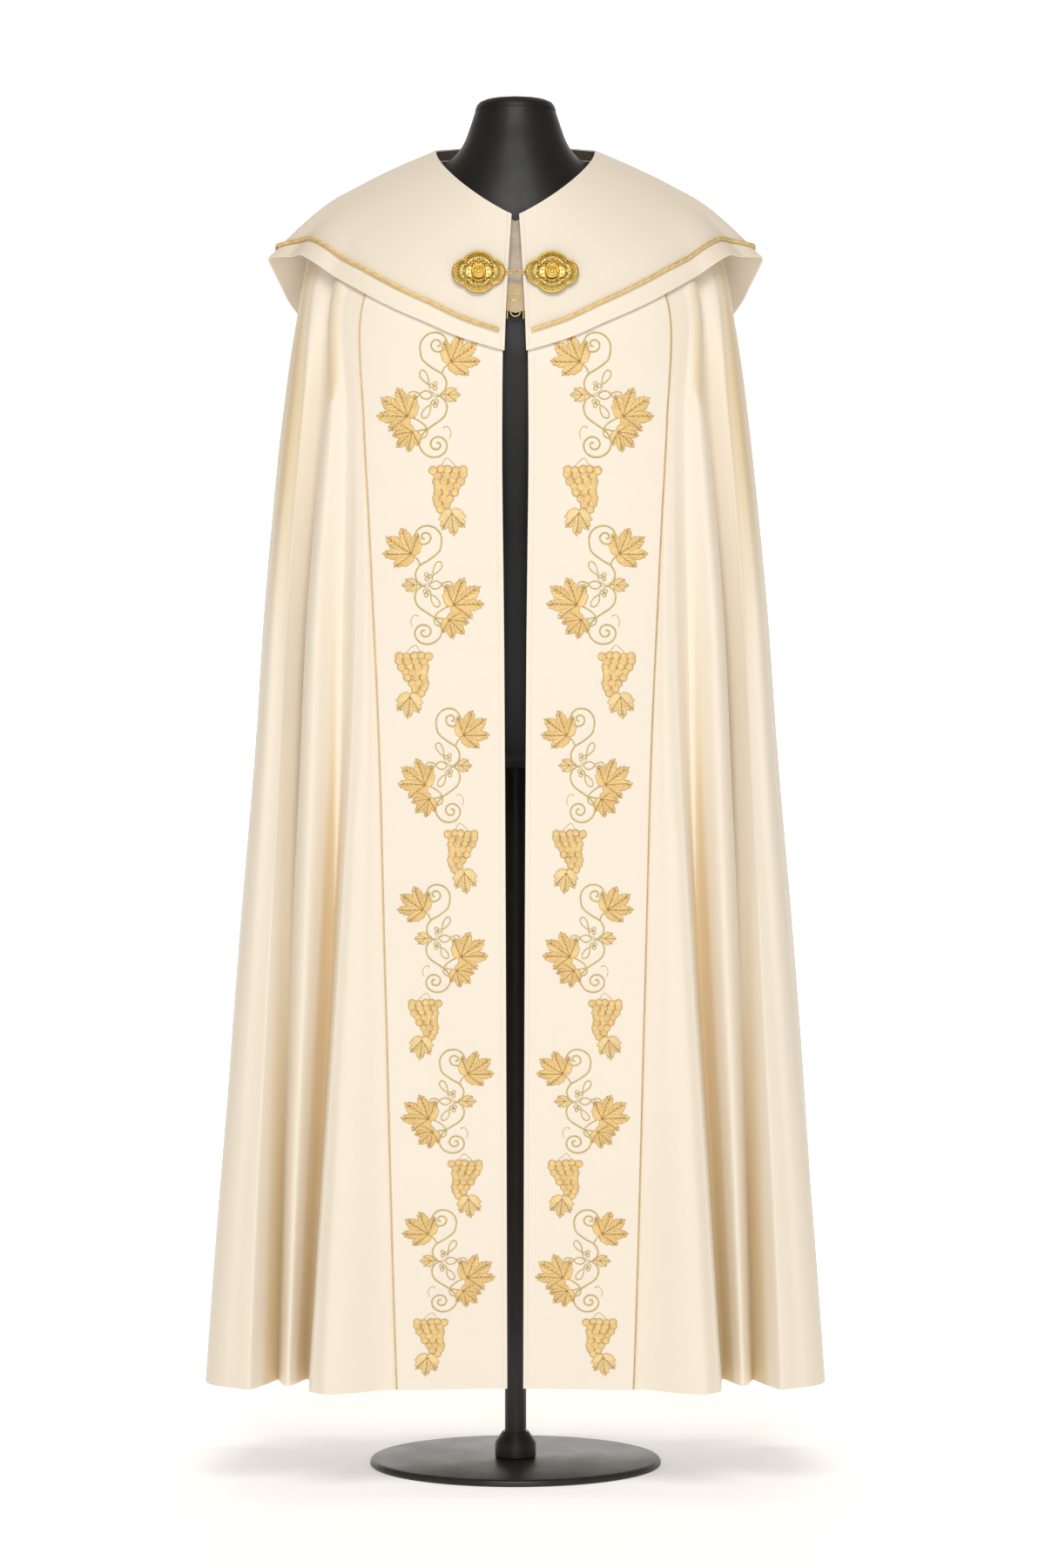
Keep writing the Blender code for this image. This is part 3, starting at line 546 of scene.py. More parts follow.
def twisted_cord(name, path, above, radius, plies, sides, spacing):
    """A twisted cord: each ply is a round tube whose centre winds round the path; plies differ in colour.

    above is the same path lifted off the cloth.
    """
    both = even_path(np.concatenate([path, above - path], 1), spacing)
    path, out = both[:, :3], both[:, 3:]
    across, up = directions(path, out)
    length = lengths_along(path)
    ply_radius = radius * PLY_SHARE
    heap = Heap()
    for ply in range(plies):
        turn = 2 * math.pi * (length / (radius * CORD_TWIST) + ply / plies)
        winding = np.cos(turn)[:, None] * across + np.sin(turn)[:, None] * up
        centre = path + (radius - ply_radius) * winding
        heap.add(sweep(centre, up, ply_radius, ply_radius, circle(sides)), ply % 2)
    points, faces, uv, slots = heap.arrays()
    finishes = [finish_named("bright cord"), finish_named("tan cord")]
    piece = new_piece(name, points, faces, finishes, uv, slots)
    return piece


def through(points, steps=6, closed=False):
    """The Catmull-Rom curve through the points."""
    p = np.asarray(points, float)
    before, after = (p[-1:], p[:2]) if closed else (2 * p[:1] - p[1:2], 2 * p[-1:] - p[-2:-1])
    p = np.concatenate([before, p, after])
    t = (np.arange(steps) / steps)[None, :, None]
    a, b, c, d = (p[k:len(p) - 3 + k, None] for k in range(4))
    curve = 2 * b + (c - a) * t + (2 * a - 5 * b + 4 * c - d) * t ** 2 + (3 * b - a - 3 * c + d) * t ** 3
    curve = 0.5 * curve.reshape(-1, p.shape[1])
    return curve if closed else np.concatenate([curve, p[-2:-1]])


# ---------------------------------------------------------------- finishes

class Wire:
    """A node's socket that can be used in ordinary sums: each sum adds a Math node."""

    def __init__(self, tree, socket):
        self.tree, self.socket = tree, socket

    def combined(self, operation, *others):
        inputs = dict(enumerate((self, *others)))
        return add_node(self.tree, "ShaderNodeMath", "Value", {"operation": operation}, inputs)

    def __add__(self, other):
        return self.combined("ADD", other)

    def __mul__(self, other):
        return self.combined("MULTIPLY", other)

    def sine(self):
        return self.combined("SINE")


def add_node(tree, kind, output, settings, inputs):
    """A node with its settings, its inputs set to values or joined to wires; returns one output's wire."""
    node = tree.nodes.new(kind)
    for name, value in settings.items():
        setattr(node, name, value)
    for name, value in inputs.items():
        if isinstance(value, Wire):
            tree.links.new(value.socket, node.inputs[name])
        else:
            node.inputs[name].default_value = value
    return Wire(tree, node.outputs[output])


class Finish:
    """A Principled material in the making; constants are set on the shader's own sockets."""

    def __init__(self, name, **constants):
        self.material = bpy.data.materials.new(name)
        self.material.use_nodes = True
        self.tree = self.material.node_tree
        self.shader = self.tree.nodes["Principled BSDF"]
        for socket, value in constants.items():
            self.shader.inputs[socket.replace("_", " ")].default_value = value

    def node(self, kind, output, settings=None, inputs=None):
        return add_node(self.tree, "ShaderNode" + kind, output, settings or {}, inputs or {})

    def noise(self, scale, detail=2.0, vector=None, roughness=0.5):
        vector = vector or self.node("TexCoord", "Object")
        return self.node("TexNoise", "Fac", {}, {
            "Vector": vector, "Scale": scale, "Detail": detail, "Roughness": roughness})

    def uv(self):
        """The piece's own UVs, across and along, in metres on cloth and cord."""
        parts = self.node("SeparateXYZ", "X", {}, {"Vector": self.node("UVMap", "UV", {"uv_map": "UVMap"})})
        return parts, Wire(self.tree, parts.socket.node.outputs["Y"])

    def mix(self, factor, first, second):
        """A colour between two, by a factor."""
        return self.node("Mix", 2, {"data_type": "RGBA"}, {0: factor, 6: first, 7: second})

    def step(self, value, low, high, out_low=0.0, out_high=1.0):
        """The value stretched from one range to another, and held at its ends."""
        return self.node("MapRange", "Result", {}, {
            "Value": value, "From Min": low, "From Max": high, "To Min": out_low, "To Max": out_high})

    def bump(self, height, distance, strength=1.0, under=None):
        inputs = {"Height": height, "Distance": distance, "Strength": strength}
        if under is not None:
            inputs["Normal"] = under
        return self.node("Bump", "Normal", {}, inputs)

    def feed(self, **links):
        for socket, wire in links.items():
            self.tree.links.new(wire.socket, self.shader.inputs[socket.replace("_", " ")])
        return self.material


def rgba(colour):
    return (*colour[:3], 1.0)


def shade(colour, amount):
    """A colour made darker or lighter, with its alpha."""
    return tuple(c * amount for c in colour[:3]) + (1.0,)


def satin(name, colour, fold_shade_colour, pitch):
    """Heavy satin: floats of thread along the cloth with a twill step, a soft sheen, uneven dye, and
    painted shade that darkens it towards the fold shade in its deep folds.
    """
    finish = Finish(name, Sheen_Weight=0.25, Sheen_Roughness=0.4, Specular_IOR_Level=0.35)
    across, along = finish.uv()
    cycle = 2 * math.pi / pitch
    floats = (across * cycle + along * (0.9 / pitch)).sine()
    picks = (along * (cycle / 2.2) + (across * (cycle / 5)).sine() * 1.2).sine()
    weave = floats * 0.6 + picks * 0.4
    cloud = finish.noise(5.0, 3.0)
    slub = finish.node("TexNoise", "Fac", {}, {
        "Vector": finish.node("CombineXYZ", "Vector", {}, {"X": across * 900, "Y": along * 25}),
        "Scale": 1.0, "Detail": 2.0})
    depth = finish.node("Attribute", "Fac", {"attribute_name": "painted_fold_shade"})
    dyed = finish.mix(finish.step(cloud, 0.3, 0.7), shade(colour, 0.985), rgba(colour))
    dyed = finish.mix(finish.step(slub, 0.35, 0.65, 0.0, 0.12), dyed, shade(colour, 0.94))
    # Painted shade: the colour is mixed towards the fold shade by how deep in a fold each point lies.
    painted_fold_shade = finish.mix(finish.step(depth, 0.0, 1.0), dyed, rgba(fold_shade_colour))
    rough = finish.step(cloud + slub, 0.6, 1.4, 0.46, 0.56)
    return finish.feed(Base_Color=painted_fold_shade, Roughness=rough,
                       Normal=finish.bump(weave, 0.00004, 0.6, finish.bump(slub, 0.00008, 0.5)))


def thread(name, colour, darker, metal, pitch, lean=0.25):
    """Embroidery or cord thread: fine strands across the UV's length, with flecks of a darker thread."""
    finish = Finish(name, Specular_IOR_Level=0.5, Sheen_Weight=0.2, Sheen_Roughness=0.35)
    across, along = finish.uv()
    strands = (along * (2 * math.pi / pitch) + across * (2 * math.pi * lean)).sine()
    fleck = finish.noise(1400.0, 2.0)
    patch = finish.noise(110.0, 3.0)
    tone = finish.step(fleck * 0.5 + patch * 0.5 + strands * 0.06, 0.36, 0.62)
    return finish.feed(
        Base_Color=finish.mix(tone, shade(colour, darker), rgba(colour)),
        Metallic=finish.step(fleck, 0.3, 0.7, metal * 0.7, metal),
        Roughness=finish.step(patch, 0.3, 0.7, 0.30, 0.44),
        Normal=finish.bump(strands, pitch * 0.12, 0.7))


def gilt(name, colour, tone, roughness, chased):
    """Gilt metal: its colour toned down, with faint casting unevenness and softer polish in patches."""
    finish = Finish(name, Specular_IOR_Level=0.5, Metallic=1.0)
    colour = shade(colour, tone)
    grain = finish.noise(900.0, 3.0)
    patch = finish.noise(260.0, 2.0)
    return finish.feed(
        Base_Color=finish.mix(finish.step(patch, 0.35, 0.65), shade(colour, 0.82), rgba(colour)),
        Roughness=finish.step(grain * 0.5 + patch * 0.5, 0.35, 0.65, roughness * 0.8, roughness * 1.3),
        Normal=finish.bump(patch, chased, 0.6))


def black_shell(name, colour, roughness, pebble):
    """A smooth dark coating with faint orange peel and handling marks."""
    finish = Finish(name, Coat_Roughness=0.25, Specular_IOR_Level=0.35)
    peel = finish.noise(420.0, 2.0)
    marks = finish.noise(9.0, 4.0, roughness=0.7)
    return finish.feed(
        Base_Color=finish.mix(finish.step(marks, 0.4, 0.7), rgba(colour), shade(colour, 1.5)),
        Roughness=finish.step(marks, 0.3, 0.7, roughness, roughness * 1.35),
        Coat_Weight=finish.step(marks, 0.3, 0.7, 0.10, 0.05),
        Normal=finish.bump(peel, pebble, 0.4))


def brocade(name, colour, darker):
    """The closing tab's weave: a small ribbed ground with a shimmer of a second thread."""
    finish = Finish(name, Sheen_Weight=0.3, Sheen_Roughness=0.4, Specular_IOR_Level=0.4)
    across, along = finish.uv()
    ribs = (along * (2 * math.pi / 0.0012)).sine() * 0.5 + (across * (2 * math.pi / 0.0009)).sine() * 0.5
    cloud = finish.noise(60.0, 3.0)
    tone = finish.step(cloud + ribs * 0.1, 0.35, 0.65)
    return finish.feed(Base_Color=finish.mix(tone, shade(colour, darker), rgba(colour)),
                       Roughness=finish.step(cloud, 0.3, 0.7, 0.42, 0.58),
                       Normal=finish.bump(ribs, 0.00006, 0.6))


def plain_white(name, colour, glow):
    """The stage's matt paper."""
    finish = Finish(name, Specular_IOR_Level=0.1, Emission_Strength=glow)
    finish.shader.inputs["Emission Color"].default_value = rgba(colour)
    grain = finish.noise(3.0, 2.0)
    return finish.feed(Base_Color=finish.mix(grain, shade(colour, 0.995), rgba(colour)),
                       Roughness=finish.step(grain, 0.0, 1.0, 0.9, 0.95))


FINISHES = {}
# How hollows are found for the painted fold shade: columns to the neighbours on each side, and a depth that
# still counts as flat.
HOLLOW_STEPS = (4, 9, 18)
HOLLOW_FLOOR = 0.003


def finish_named(name):
    """A finish by name, made once from the current settings."""
    if name not in FINISHES:
        scene = bpy.context.scene
        cloth, gold, form = scene.cope_cloth, scene.cope_gold, scene.cope_form
        makers = {
            "cream satin": (satin, cloth.cream, cloth.fold_shade, cloth.thread_pitch),
            "band satin": (satin, cloth.band_cream, cloth.fold_shade, cloth.thread_pitch),
            "tab brocade": (brocade, cloth.tab, 0.72),
            "leaf thread": (thread, gold.leaf, 0.82, 0.12, 0.0011, 0),
            "pale leaf thread": (thread, gold.pale, 0.86, 0.1, 0.0011, 0),
            "grape thread": (thread, gold.grape, 0.80, 0.12, 0.0010, 0.5),
            "vein thread": (thread, gold.vein, 0.80, 0.15, 0.0008),
            "edge thread": (thread, gold.edge, 0.80, 0.15, 0.0008),
            "stem thread": (thread, gold.stem, 0.82, 0.15, 0.0008),
            "bright cord": (thread, gold.cord, 0.74, 0.35, 0.0007),
            "tan cord": (thread, gold.cord_dark, 0.74, 0.35, 0.0007),
            "polished gilt": (gilt, gold.gilt, 0.92, 0.22, 0.00006),
            "chased gilt": (gilt, gold.gilt, 0.46, 0.36, 0.00015),
            "black shell": (black_shell, form.shell, 0.44, 0.00005),
            "black metal": (black_shell, form.metal, 0.34, 0.00010),
        }
        maker, *values = makers[name]
        FINISHES[name] = maker(name, *values)
    return FINISHES[name]


def mark_fold_shade(thing, depths):
    """Stores how much painted fold shade each point takes: how deep in a hollow it lies, 0 on the crests to
    1 in the deepest troughs.
    """
    layer = thing.data.attributes.new("painted_fold_shade", "FLOAT", "POINT")
    layer.data.foreach_set("value", np.stack([depths, depths]).astype(np.float32).ravel())


def hollow_depth(grid, deepest):
    """How far each point of a grid lies behind the chord between its neighbours along the row, as a share
    from 0 to 1 of the painted fold shade.
    """
    rows, columns = grid.shape[:2]
    place = np.arange(columns)
    depth = np.zeros((rows, columns))
    outward = grid - grid.reshape(-1, 3).mean(0)
    outward[..., 2] = 0
    outward /= np.linalg.norm(outward, axis=-1, keepdims=True)
    for step in HOLLOW_STEPS:
        before = grid[:, np.maximum(place - step, 0)]
        after = grid[:, np.minimum(place + step, columns - 1)]
        depth = np.maximum(depth, (((before + after) / 2 - grid) * outward).sum(-1))
    return np.clip((depth - HOLLOW_FLOOR) / deepest, 0, 1)



# ---------------------------------------------------------------- settings

def length(name, description, default, smallest, largest):
    """A length in metres, with its limits."""
    return bpy.props.FloatProperty(
        name=name, description=description, default=default, min=smallest, max=largest,
        unit="LENGTH", subtype="DISTANCE", precision=5)


def colour(name, description, default):
    """A linear colour."""
    return bpy.props.FloatVectorProperty(
        name=name, description=description, default=default, size=3, min=0, max=1, subtype="COLOR")


class ClothSettings(bpy.types.PropertyGroup):
    """Sizes and colours of the cloth."""
    mantle_thickness: length(
        "Mantle thickness", "Thickness of the satin with its lining", 0.0018, 0.001, 0.003)
    band_thickness: length("Band thickness", "Thickness of the embroidered bands", 0.0014, 0.001, 0.003)
    hood_thickness: length("Hood thickness", "Thickness of the hood", 0.0018, 0.001, 0.003)
    tab_thickness: length("Tab thickness", "Thickness of the closing tab", 0.0014, 0.001, 0.003)
    thread_pitch: length("Thread pitch", "Distance between the satin's floats", 0.0009, 0.0003, 0.003)
    cream: colour("Cream", "Colour of the mantle and the hood", (0.91, 0.838, 0.725))
    band_cream: colour("Band cream", "Colour of the embroidered bands", (0.91, 0.842, 0.74))
    # Painted shade: the satin's colour is mixed towards this in its deep folds, where shade falls.
    fold_shade: colour("Fold shade", "Colour that the satin takes in its deep folds", (0.80, 0.66, 0.44))
    # Painted shade: the tab is of the cope's cream cloth, and this tan is that cream darkened as the shade
    # it lies in behind the gap.
    tab: colour("Tab", "Colour of the closing tab", (0.62, 0.52, 0.42))


class GoldSettings(bpy.types.PropertyGroup):
    """Sizes and colours of the threads, cords and gilt metal."""
    hood_cord_radius: length(
        "Hood cord radius", "Radius of the cord above the hood's edge", 0.0024, 0.001, 0.006)
    seam_cord_radius: length(
        "Seam cord radius", "Radius of the piping along the bands", 0.0009, 0.0005, 0.004)
    leaf: colour("Leaf", "Colour of the large leaves", (0.96, 0.69, 0.29))
    pale: colour("Pale leaf", "Colour of the small hanging leaves", (0.96, 0.74, 0.36))
    grape: colour("Grape", "Colour of the grapes", (0.96, 0.70, 0.31))
    vein: colour("Vein", "Colour of veins and outlines", (0.62, 0.36, 0.11))
    edge: colour("Edge", "Colour of the couched edges of leaves and grapes", (0.74, 0.47, 0.17))
    stem: colour("Stem", "Colour of stems and tendrils", (0.82, 0.64, 0.26))
    cord: colour("Cord", "Colour of the bright plies of the cords", (0.94, 0.70, 0.30))
    cord_dark: colour("Cord, second ply", "Colour of the duller plies of the cords", (0.86, 0.62, 0.29))
    gilt: colour("Gilt", "Colour of the clasp", (1.0, 0.76, 0.27))


class FormSettings(bpy.types.PropertyGroup):
    """Sizes and colours of the dress form."""
    pole_radius: length("Pole radius", "Radius of the pole", 0.0125, 0.005, 0.03)
    base_radius: length("Base radius", "Radius of the round base", 0.170, 0.1, 0.3)
    shell: colour("Shell", "Colour of the torso and neck cap", (0.006, 0.006, 0.007))
    metal: colour("Metal", "Colour of the pole and base", (0.018, 0.018, 0.019))


class StageSettings(bpy.types.PropertyGroup):
    """The paper, the lights and the camera."""
    paper: colour("Paper", "Colour of the floor and backdrop", (0.93, 0.93, 0.93))
    key_power: bpy.props.FloatProperty(name="Front light", description="Power of the large front light",
                                       default=161.0, min=0.0, unit="POWER")
    camera_distance: length("Camera distance", "Distance of the camera from the pole", 5.0, 1.0, 20.0)


# ---------------------------------------------------------------- the cope

SIDES = ((1, "left"), (-1, "right"))
# The deepest hollows for the painted fold shade, front and back; where along LINES the painted shade starts
# to show on a front, and over how much.
FRONT_HOLLOW, BACK_HOLLOW = 0.015, 0.020
HOLLOWS_FROM, HOLLOWS_OVER = 2.6, 0.8
# Rows and columns of the band and the hood; the band's columns lie closer in its first part.  A turned edge
# takes its step down in the last part of its width.
BAND_ROWS = 200
BAND_CLOSE_PART = 0.12
TURNED_STEP = 0.08
HOOD_ROWS = (64, 18)
HOOD_COLUMNS = 132
# The hood's columns beside its front edge, in widths of the turned strip.
HOOD_EDGE_COLUMNS = np.array([0, 0.3, 0.6, 0.92, 1.0, 1.3])
# The embroidered rings on the tab: which way they face, how high they lie on the cloth, and the small ones'
# middles and half sizes across and up.
TAB_OUT = (0, -1, 0.2)
RING_RISE = 0.0002
RINGS = [(0, 1.3675, 0.0011, 0.0014), (0, 1.3638, 0.0016, 0.0018), (0, 1.3480, 0.0034, 0.0014),
         (0, 1.3430, 0.0052, 0.0050), (0, 1.3345, 0.0054, 0.0050)]
RINGS += [(0.0028 * x, 1.3555 + 0.0028 * z, 0.0029, 0.0029) for x in (-1, 1) for z in (-1, 1)]
# The two lines of thread beside the rings: height at foot and top, half width at the top, and how much they
# spread towards the foot.
RING_LINE_FOOT, RING_LINE_TOP = 1.3265, 1.372
RING_LINE_X = 0.0078
RING_LINE_SPREAD = 0.0016 / 0.046


def seam_in(grid, edge, inside):
    """Moves a grid's edge column half a seam's gap towards the column inside it."""
    way = grid[:, inside] - grid[:, edge]
    grid[:, edge] += way / np.linalg.norm(way, axis=-1, keepdims=True) * SEAM_GAP / 2


def places_between(first, segments):
    """Places along LINES from one line on, with the given number of steps to each next line."""
    runs = [np.linspace(first + i, first + i + 1, n, endpoint=False) for i, n in enumerate(segments)]
    return np.append(np.concatenate(runs), first + len(segments))


def mantle_fronts(thickness):
    """The two fronts, from the front edge to the side seam."""
    drops = np.linspace(MANTLE_TOP, 1.0, MANTLE_ROWS)[:, None]
    places = places_between(0, FRONT_SEGMENTS)
    for side, word in SIDES:
        layers = [folded(places, drops, side, out) for out in (0, -thickness)]
        for grid in layers:
            seam_in(grid, -1, -2)
        front = shell(f"cope_front_{word}", *layers, finish_named("cream satin"))
        # Painted shade in the front's deep folds.
        showing = np.clip((places - HOLLOWS_FROM) / HOLLOWS_OVER, 0, 1)
        mark_fold_shade(front, hollow_depth(layers[0], FRONT_HOLLOW) * showing)
        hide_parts(f"mantle_front_{word}")


def mantle_back(thickness):
    """The back, from side seam to side seam, its folds unlike on the two sides."""
    drops = np.linspace(MANTLE_TOP, 1.0, MANTLE_ROWS)[:, None]
    places = places_between(SIDE_SEAM_LINE, BACK_SEGMENTS)
    layers = []
    for out in (0, -thickness):
        left, right = (folded(places, drops, side, out) for side in (1, -1))
        middle = (left[:, -1:] + right[:, -1:]) / 2
        layers.append(np.concatenate([left[:, :-1], middle, right[:, -2::-1]], axis=1))
    for grid in layers:
        seam_in(grid, 0, 1)
        seam_in(grid, -1, -2)
    back = shell("cope_back", *layers, finish_named("cream satin"))
    # Painted shade in the back's deep folds.
    mark_fold_shade(back, hollow_depth(layers[0], BACK_HOLLOW))
    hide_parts("mantle_back")


def bands(thickness, cord_radius):
    """The embroidered bands, each with its front edge turned under and pressed flat."""
    drops = np.linspace(BAND_TOP, 1.0, BAND_ROWS)[:, None]
    edge = 1 - (cord_radius + LAYER_GAP) / BAND_HEM_WIDTH
    turned = TURNED_WIDTH / BAND_HEM_WIDTH
    places = np.concatenate([
        np.linspace(0, turned * (1 - TURNED_STEP), 5),
        np.linspace(turned, BAND_CLOSE_PART, 7)[:-1],
        np.linspace(BAND_CLOSE_PART, edge, 40),
    ])
    pressed = TURNED_RISE * np.clip((turned - places) / (turned * TURNED_STEP), 0, 1)
    for side, word in SIDES:
        outs = (thickness - TURNED_RISE + pressed, 0)
        layers = [folded(places, drops, side, LAYER_GAP + out) for out in outs]
        band = shell(f"band_{word}", *layers, finish_named("band satin"))
        mark_fold_shade(band, np.zeros(layers[0].shape[:2]))
        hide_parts(f"orphrey_{word}")


def front_gap(drop):
    """Half the gap between the hood's front edges at a drop."""
    return smooth(drop, HOOD_FRONT_GAP[:, 0], HOOD_FRONT_GAP[:, 1])


def hood_grid_angles(rows):
    """Angles of the hood's columns at each row, from the left front edge round to the centre back."""
    drop = np.minimum(rows, 1) * FRONT_CORD_DROP + np.maximum(rows - 1, 0) * HOOD_EDGE[0, 3]
    near = angle_at(front_gap(drop)[:, None] + HOOD_EDGE_COLUMNS * TURNED_WIDTH, drop[:, None])
    part = np.linspace(0, 1, HOOD_COLUMNS)[1:] ** 1.05
    return np.concatenate([near, near[:, -1:] + (180 - near[:, -1:]) * part], 1)


def hood(thickness):
    """The hood, with its front edges turned under and its flared lower edge."""
    above, below = HOOD_ROWS
    rows = np.concatenate([np.linspace(0, 1, above)[:-1], np.linspace(1, 2, below)])
    half = hood_grid_angles(rows)
    pressed = np.zeros(half.shape[1])
    pressed[:(HOOD_EDGE_COLUMNS < 1).sum()] = TURNED_RISE
    layers = []
    for out in (pressed, -thickness):
        left = hood_points(half, rows[:, None], out)
        right = left[:, -2::-1] * (-1, 1, 1)
        layers.append(np.concatenate([left, right], axis=1))
    piece = shell("hood_cloth", *layers, finish_named("cream satin"))
    mark_fold_shade(piece, np.zeros(layers[0].shape[:2]))
    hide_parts("hood")


def hood_cord(radius):
    """The twisted cord along the hood, a little above its edge."""
    drop = np.array(FRONT_CORD_DROP)
    start = angle_at(front_gap(drop), drop) * HOOD_CORD_START
    angles = np.linspace(start, 360 - start, 900)
    angles = np.where(angles > 180, angles - 360, angles)
    path, above = (hood_points(angles, 1.0, LAYER_GAP + radius + out) for out in (0, OUTWARD_STEP))
    cord = twisted_cord("hood_cord", path, above, radius, plies=3, sides=6, spacing=0.0011)
    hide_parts("hood_piping")


def seam_cords(radius):
    """The thin twisted piping along each band's outer seam."""
    drops = np.linspace(BAND_TOP, 1.0, 400)[:, None]
    for side, word in SIDES:
        outs = (radius + LAYER_GAP, radius + LAYER_GAP + OUTWARD_STEP)
        path, above = (folded(np.ones(1), drops, side, out)[:, 0] for out in outs)
        cord = twisted_cord(f"seam_cord_{word}", path, above, radius, plies=2, sides=5, spacing=0.0009)
        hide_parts(f"orphrey_piping_{word}")


def on_tab(x, z, out):
    """Points on the closing tab's front at x and z, moved out."""
    drop = front_drop(abs(x), z)
    return draped(np.sign(x) * angle_at(abs(x), drop), drop, out)


def closing_tab(thickness, behind):
    """The tab behind the front edges, with a string of embroidered rings below the clasp."""
    drops = np.linspace(TAB_TOP, TAB_BOTTOM, 42)[:, None]
    across = np.linspace(-TAB_HALF_WIDTH, TAB_HALF_WIDTH, 41)
    angles = np.sign(across) * angle_at(abs(across), drops)
    # The tab's tan colour is painted shade on the cope's cream cloth.
    tab = shell("tab_cloth", draped(angles, drops, behind), draped(angles, drops, behind - thickness),
                finish_named("tab brocade"))
    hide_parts("closing_tab")
    ornament = Heap()
    turn = even_turns(28)
    for x, z, wide, high in RINGS:
        path = on_tab(x + wide * np.cos(turn), z + high * np.sin(turn), behind + RING_RISE)
        ornament.add(sweep(path, TAB_OUT, 0.0008, 0.0009, RIDGE, closed=True))
    z = np.linspace(RING_LINE_FOOT, RING_LINE_TOP, 30)
    for side, _ in reversed(SIDES):
        path = on_tab(side * (RING_LINE_X + RING_LINE_SPREAD * (RING_LINE_TOP - z)), z, behind + RING_RISE)
        ornament.add(sweep(path, TAB_OUT, 0.0008, 0.0008, RIDGE))
    points, faces, uv, slots = ornament.arrays()
    rings = new_piece("tab_rings", points, faces, [finish_named("pale leaf thread")], uv, slots)


# ---------------------------------------------------------------- the embroidery
# One repeat of the vine is drawn on the flat in millimetres: across towards the wearer's middle, then down.

# The slots of the vine's finishes.
LEAF_SLOT, PALE_SLOT, GRAPE_SLOT, STEM_SLOT, VEIN_SLOT, EDGE_SLOT = range(6)
VINE_THREADS = ("leaf", "pale leaf", "grape", "stem", "vein", "edge")
# A scroll's reach at each turn.
SCROLL = np.array([(0, 20.5), (0.28, 13.8), (0.52, 11.0), (0.78, 8.6), (1.03, 7.1), (1.28, 5.2),
                   (1.53, 3.6), (1.8, 1.6)])
STEM = [(-7.9, 29.6), (4.3, 40.0), (14.2, 46.2), (19.3, 55.2), (17.9, 64.6), (12.2, 70.9), (17.6, 76.4),
        (20.1, 85.1), (15.8, 96.4), (-1.0, 108.7), (-9.0, 117.0)]
SPRIGS = [
    [(14.2, 45.7), (17.7, 38.4), (25.6, 32.5)],
    [(-24.6, 94.6), (-15.4, 97.7), (-5.9, 104.4), (-2.4, 111.3), (-3.5, 117.2), (-9.8, 120.6)],
    [(-19.7, 112.7), (-9.8, 110.7), (-1.0, 108.7)],
    [(12.2, 70.9), (16.7, 69.7), (21.0, 69.9)],
]
TENDRILS = [
    [(-1.0, 57.5), (1.0, 65.4), (10.8, 70.9)],
    [(3.2, 70.5), (7.5, 71.7), (11.4, 70.9)],
    [(11.4, 71.7), (3.9, 75.8), (1.0, 82.3)],
    [(17.3, 108.7), (16.2, 107.0), (19.7, 106.4), (22.7, 108.7), (24.8, 114.3), (23.2, 120.6)],
    [(14.2, 150.7), (19.7, 142.8), (29.6, 150.7)],
    [(22.1, 196.6), (24.4, 200.5), (25.6, 205.5)],
]
LOOPS = [
    [(-1.0, 57.5), (-7.5, 53.2), (-11.2, 47.3), (-9.8, 42.4), (-5.9, 42.4), (-2.0, 48.8)],
    [(-10.8, 69.3), (-16.7, 72.9), (-22.7, 72.2), (-22.7, 67.6), (-17.7, 66.2)],
    [(-10.8, 69.3), (-4.9, 65.4), (1.0, 67.6), (3.2, 70.5), (-1.5, 74.9), (-7.9, 73.6)],
    [(1.0, 82.3), (-4.9, 85.7), (-8.9, 92.0), (-7.2, 96.6), (-2.0, 95.0), (1.0, 88.7)],
]
BUDS = [(2.2, 59.5), (7.0, 57.3), (6.5, 62.8), (3.7, 79.2), (8.5, 77.6), (7.0, 82.5)]
# Columns: across and down of the leaf's base, the way it points in degrees, its length, and its kind.
LEAVES = [(24.2, 32.4, -35, 37, "gold"), (-24.6, 94.8, -144, 39, "gold"), (-19.1, 112.0, 136, 26, "gold"),
          (20.7, 69.9, 2, 15, "pale"), (25.6, 204.9, 84, 27, "pale")]
# A leaf's outline round its base: angle from its middle vein, and reach.  Each lobe ends in a few broad
# teeth.
LEAF = np.array([(0, 1.0), (4, 0.87), (7, 0.90), (11, 0.77), (14, 0.79), (19, 0.60), (23, 0.69),
                 (26, 0.82), (28, 0.79), (34, 0.94), (38, 0.82), (42, 0.84), (46, 0.69), (50, 0.70),
                 (55, 0.50), (60, 0.56), (64, 0.66), (67, 0.62), (73, 0.72), (78, 0.56), (83, 0.57),
                 (92, 0.44), (100, 0.46), (114, 0.33), (135, 0.25), (160, 0.14), (180, 0.05)])
PALE_LEAF = np.array([(0, 1.0), (6, 0.86), (10, 0.88), (17, 0.66), (21, 0.62), (27, 0.74), (30, 0.73),
                      (36, 0.84), (42, 0.70), (48, 0.72), (57, 0.54), (64, 0.60), (69, 0.63), (78, 0.50),
                      (90, 0.46), (115, 0.32), (150, 0.20), (180, 0.05)])
# For each kind of leaf: its outline, the angles of its lobes and the slot of its body.
LEAF_KINDS = {
    "gold": (LEAF, np.array((0, 34, -34, 73, -73)), LEAF_SLOT),
    "pale": (PALE_LEAF, np.array((0, 36, -36)), PALE_SLOT),
}
# The padding's rings from a leaf's base out: part of the reach, and height.
PADDING = np.array([(0.12, 0.60), (0.40, 0.85), (0.72, 0.85), (0.92, 0.62), (1.0, 0.35), (1.0, -0.12)])
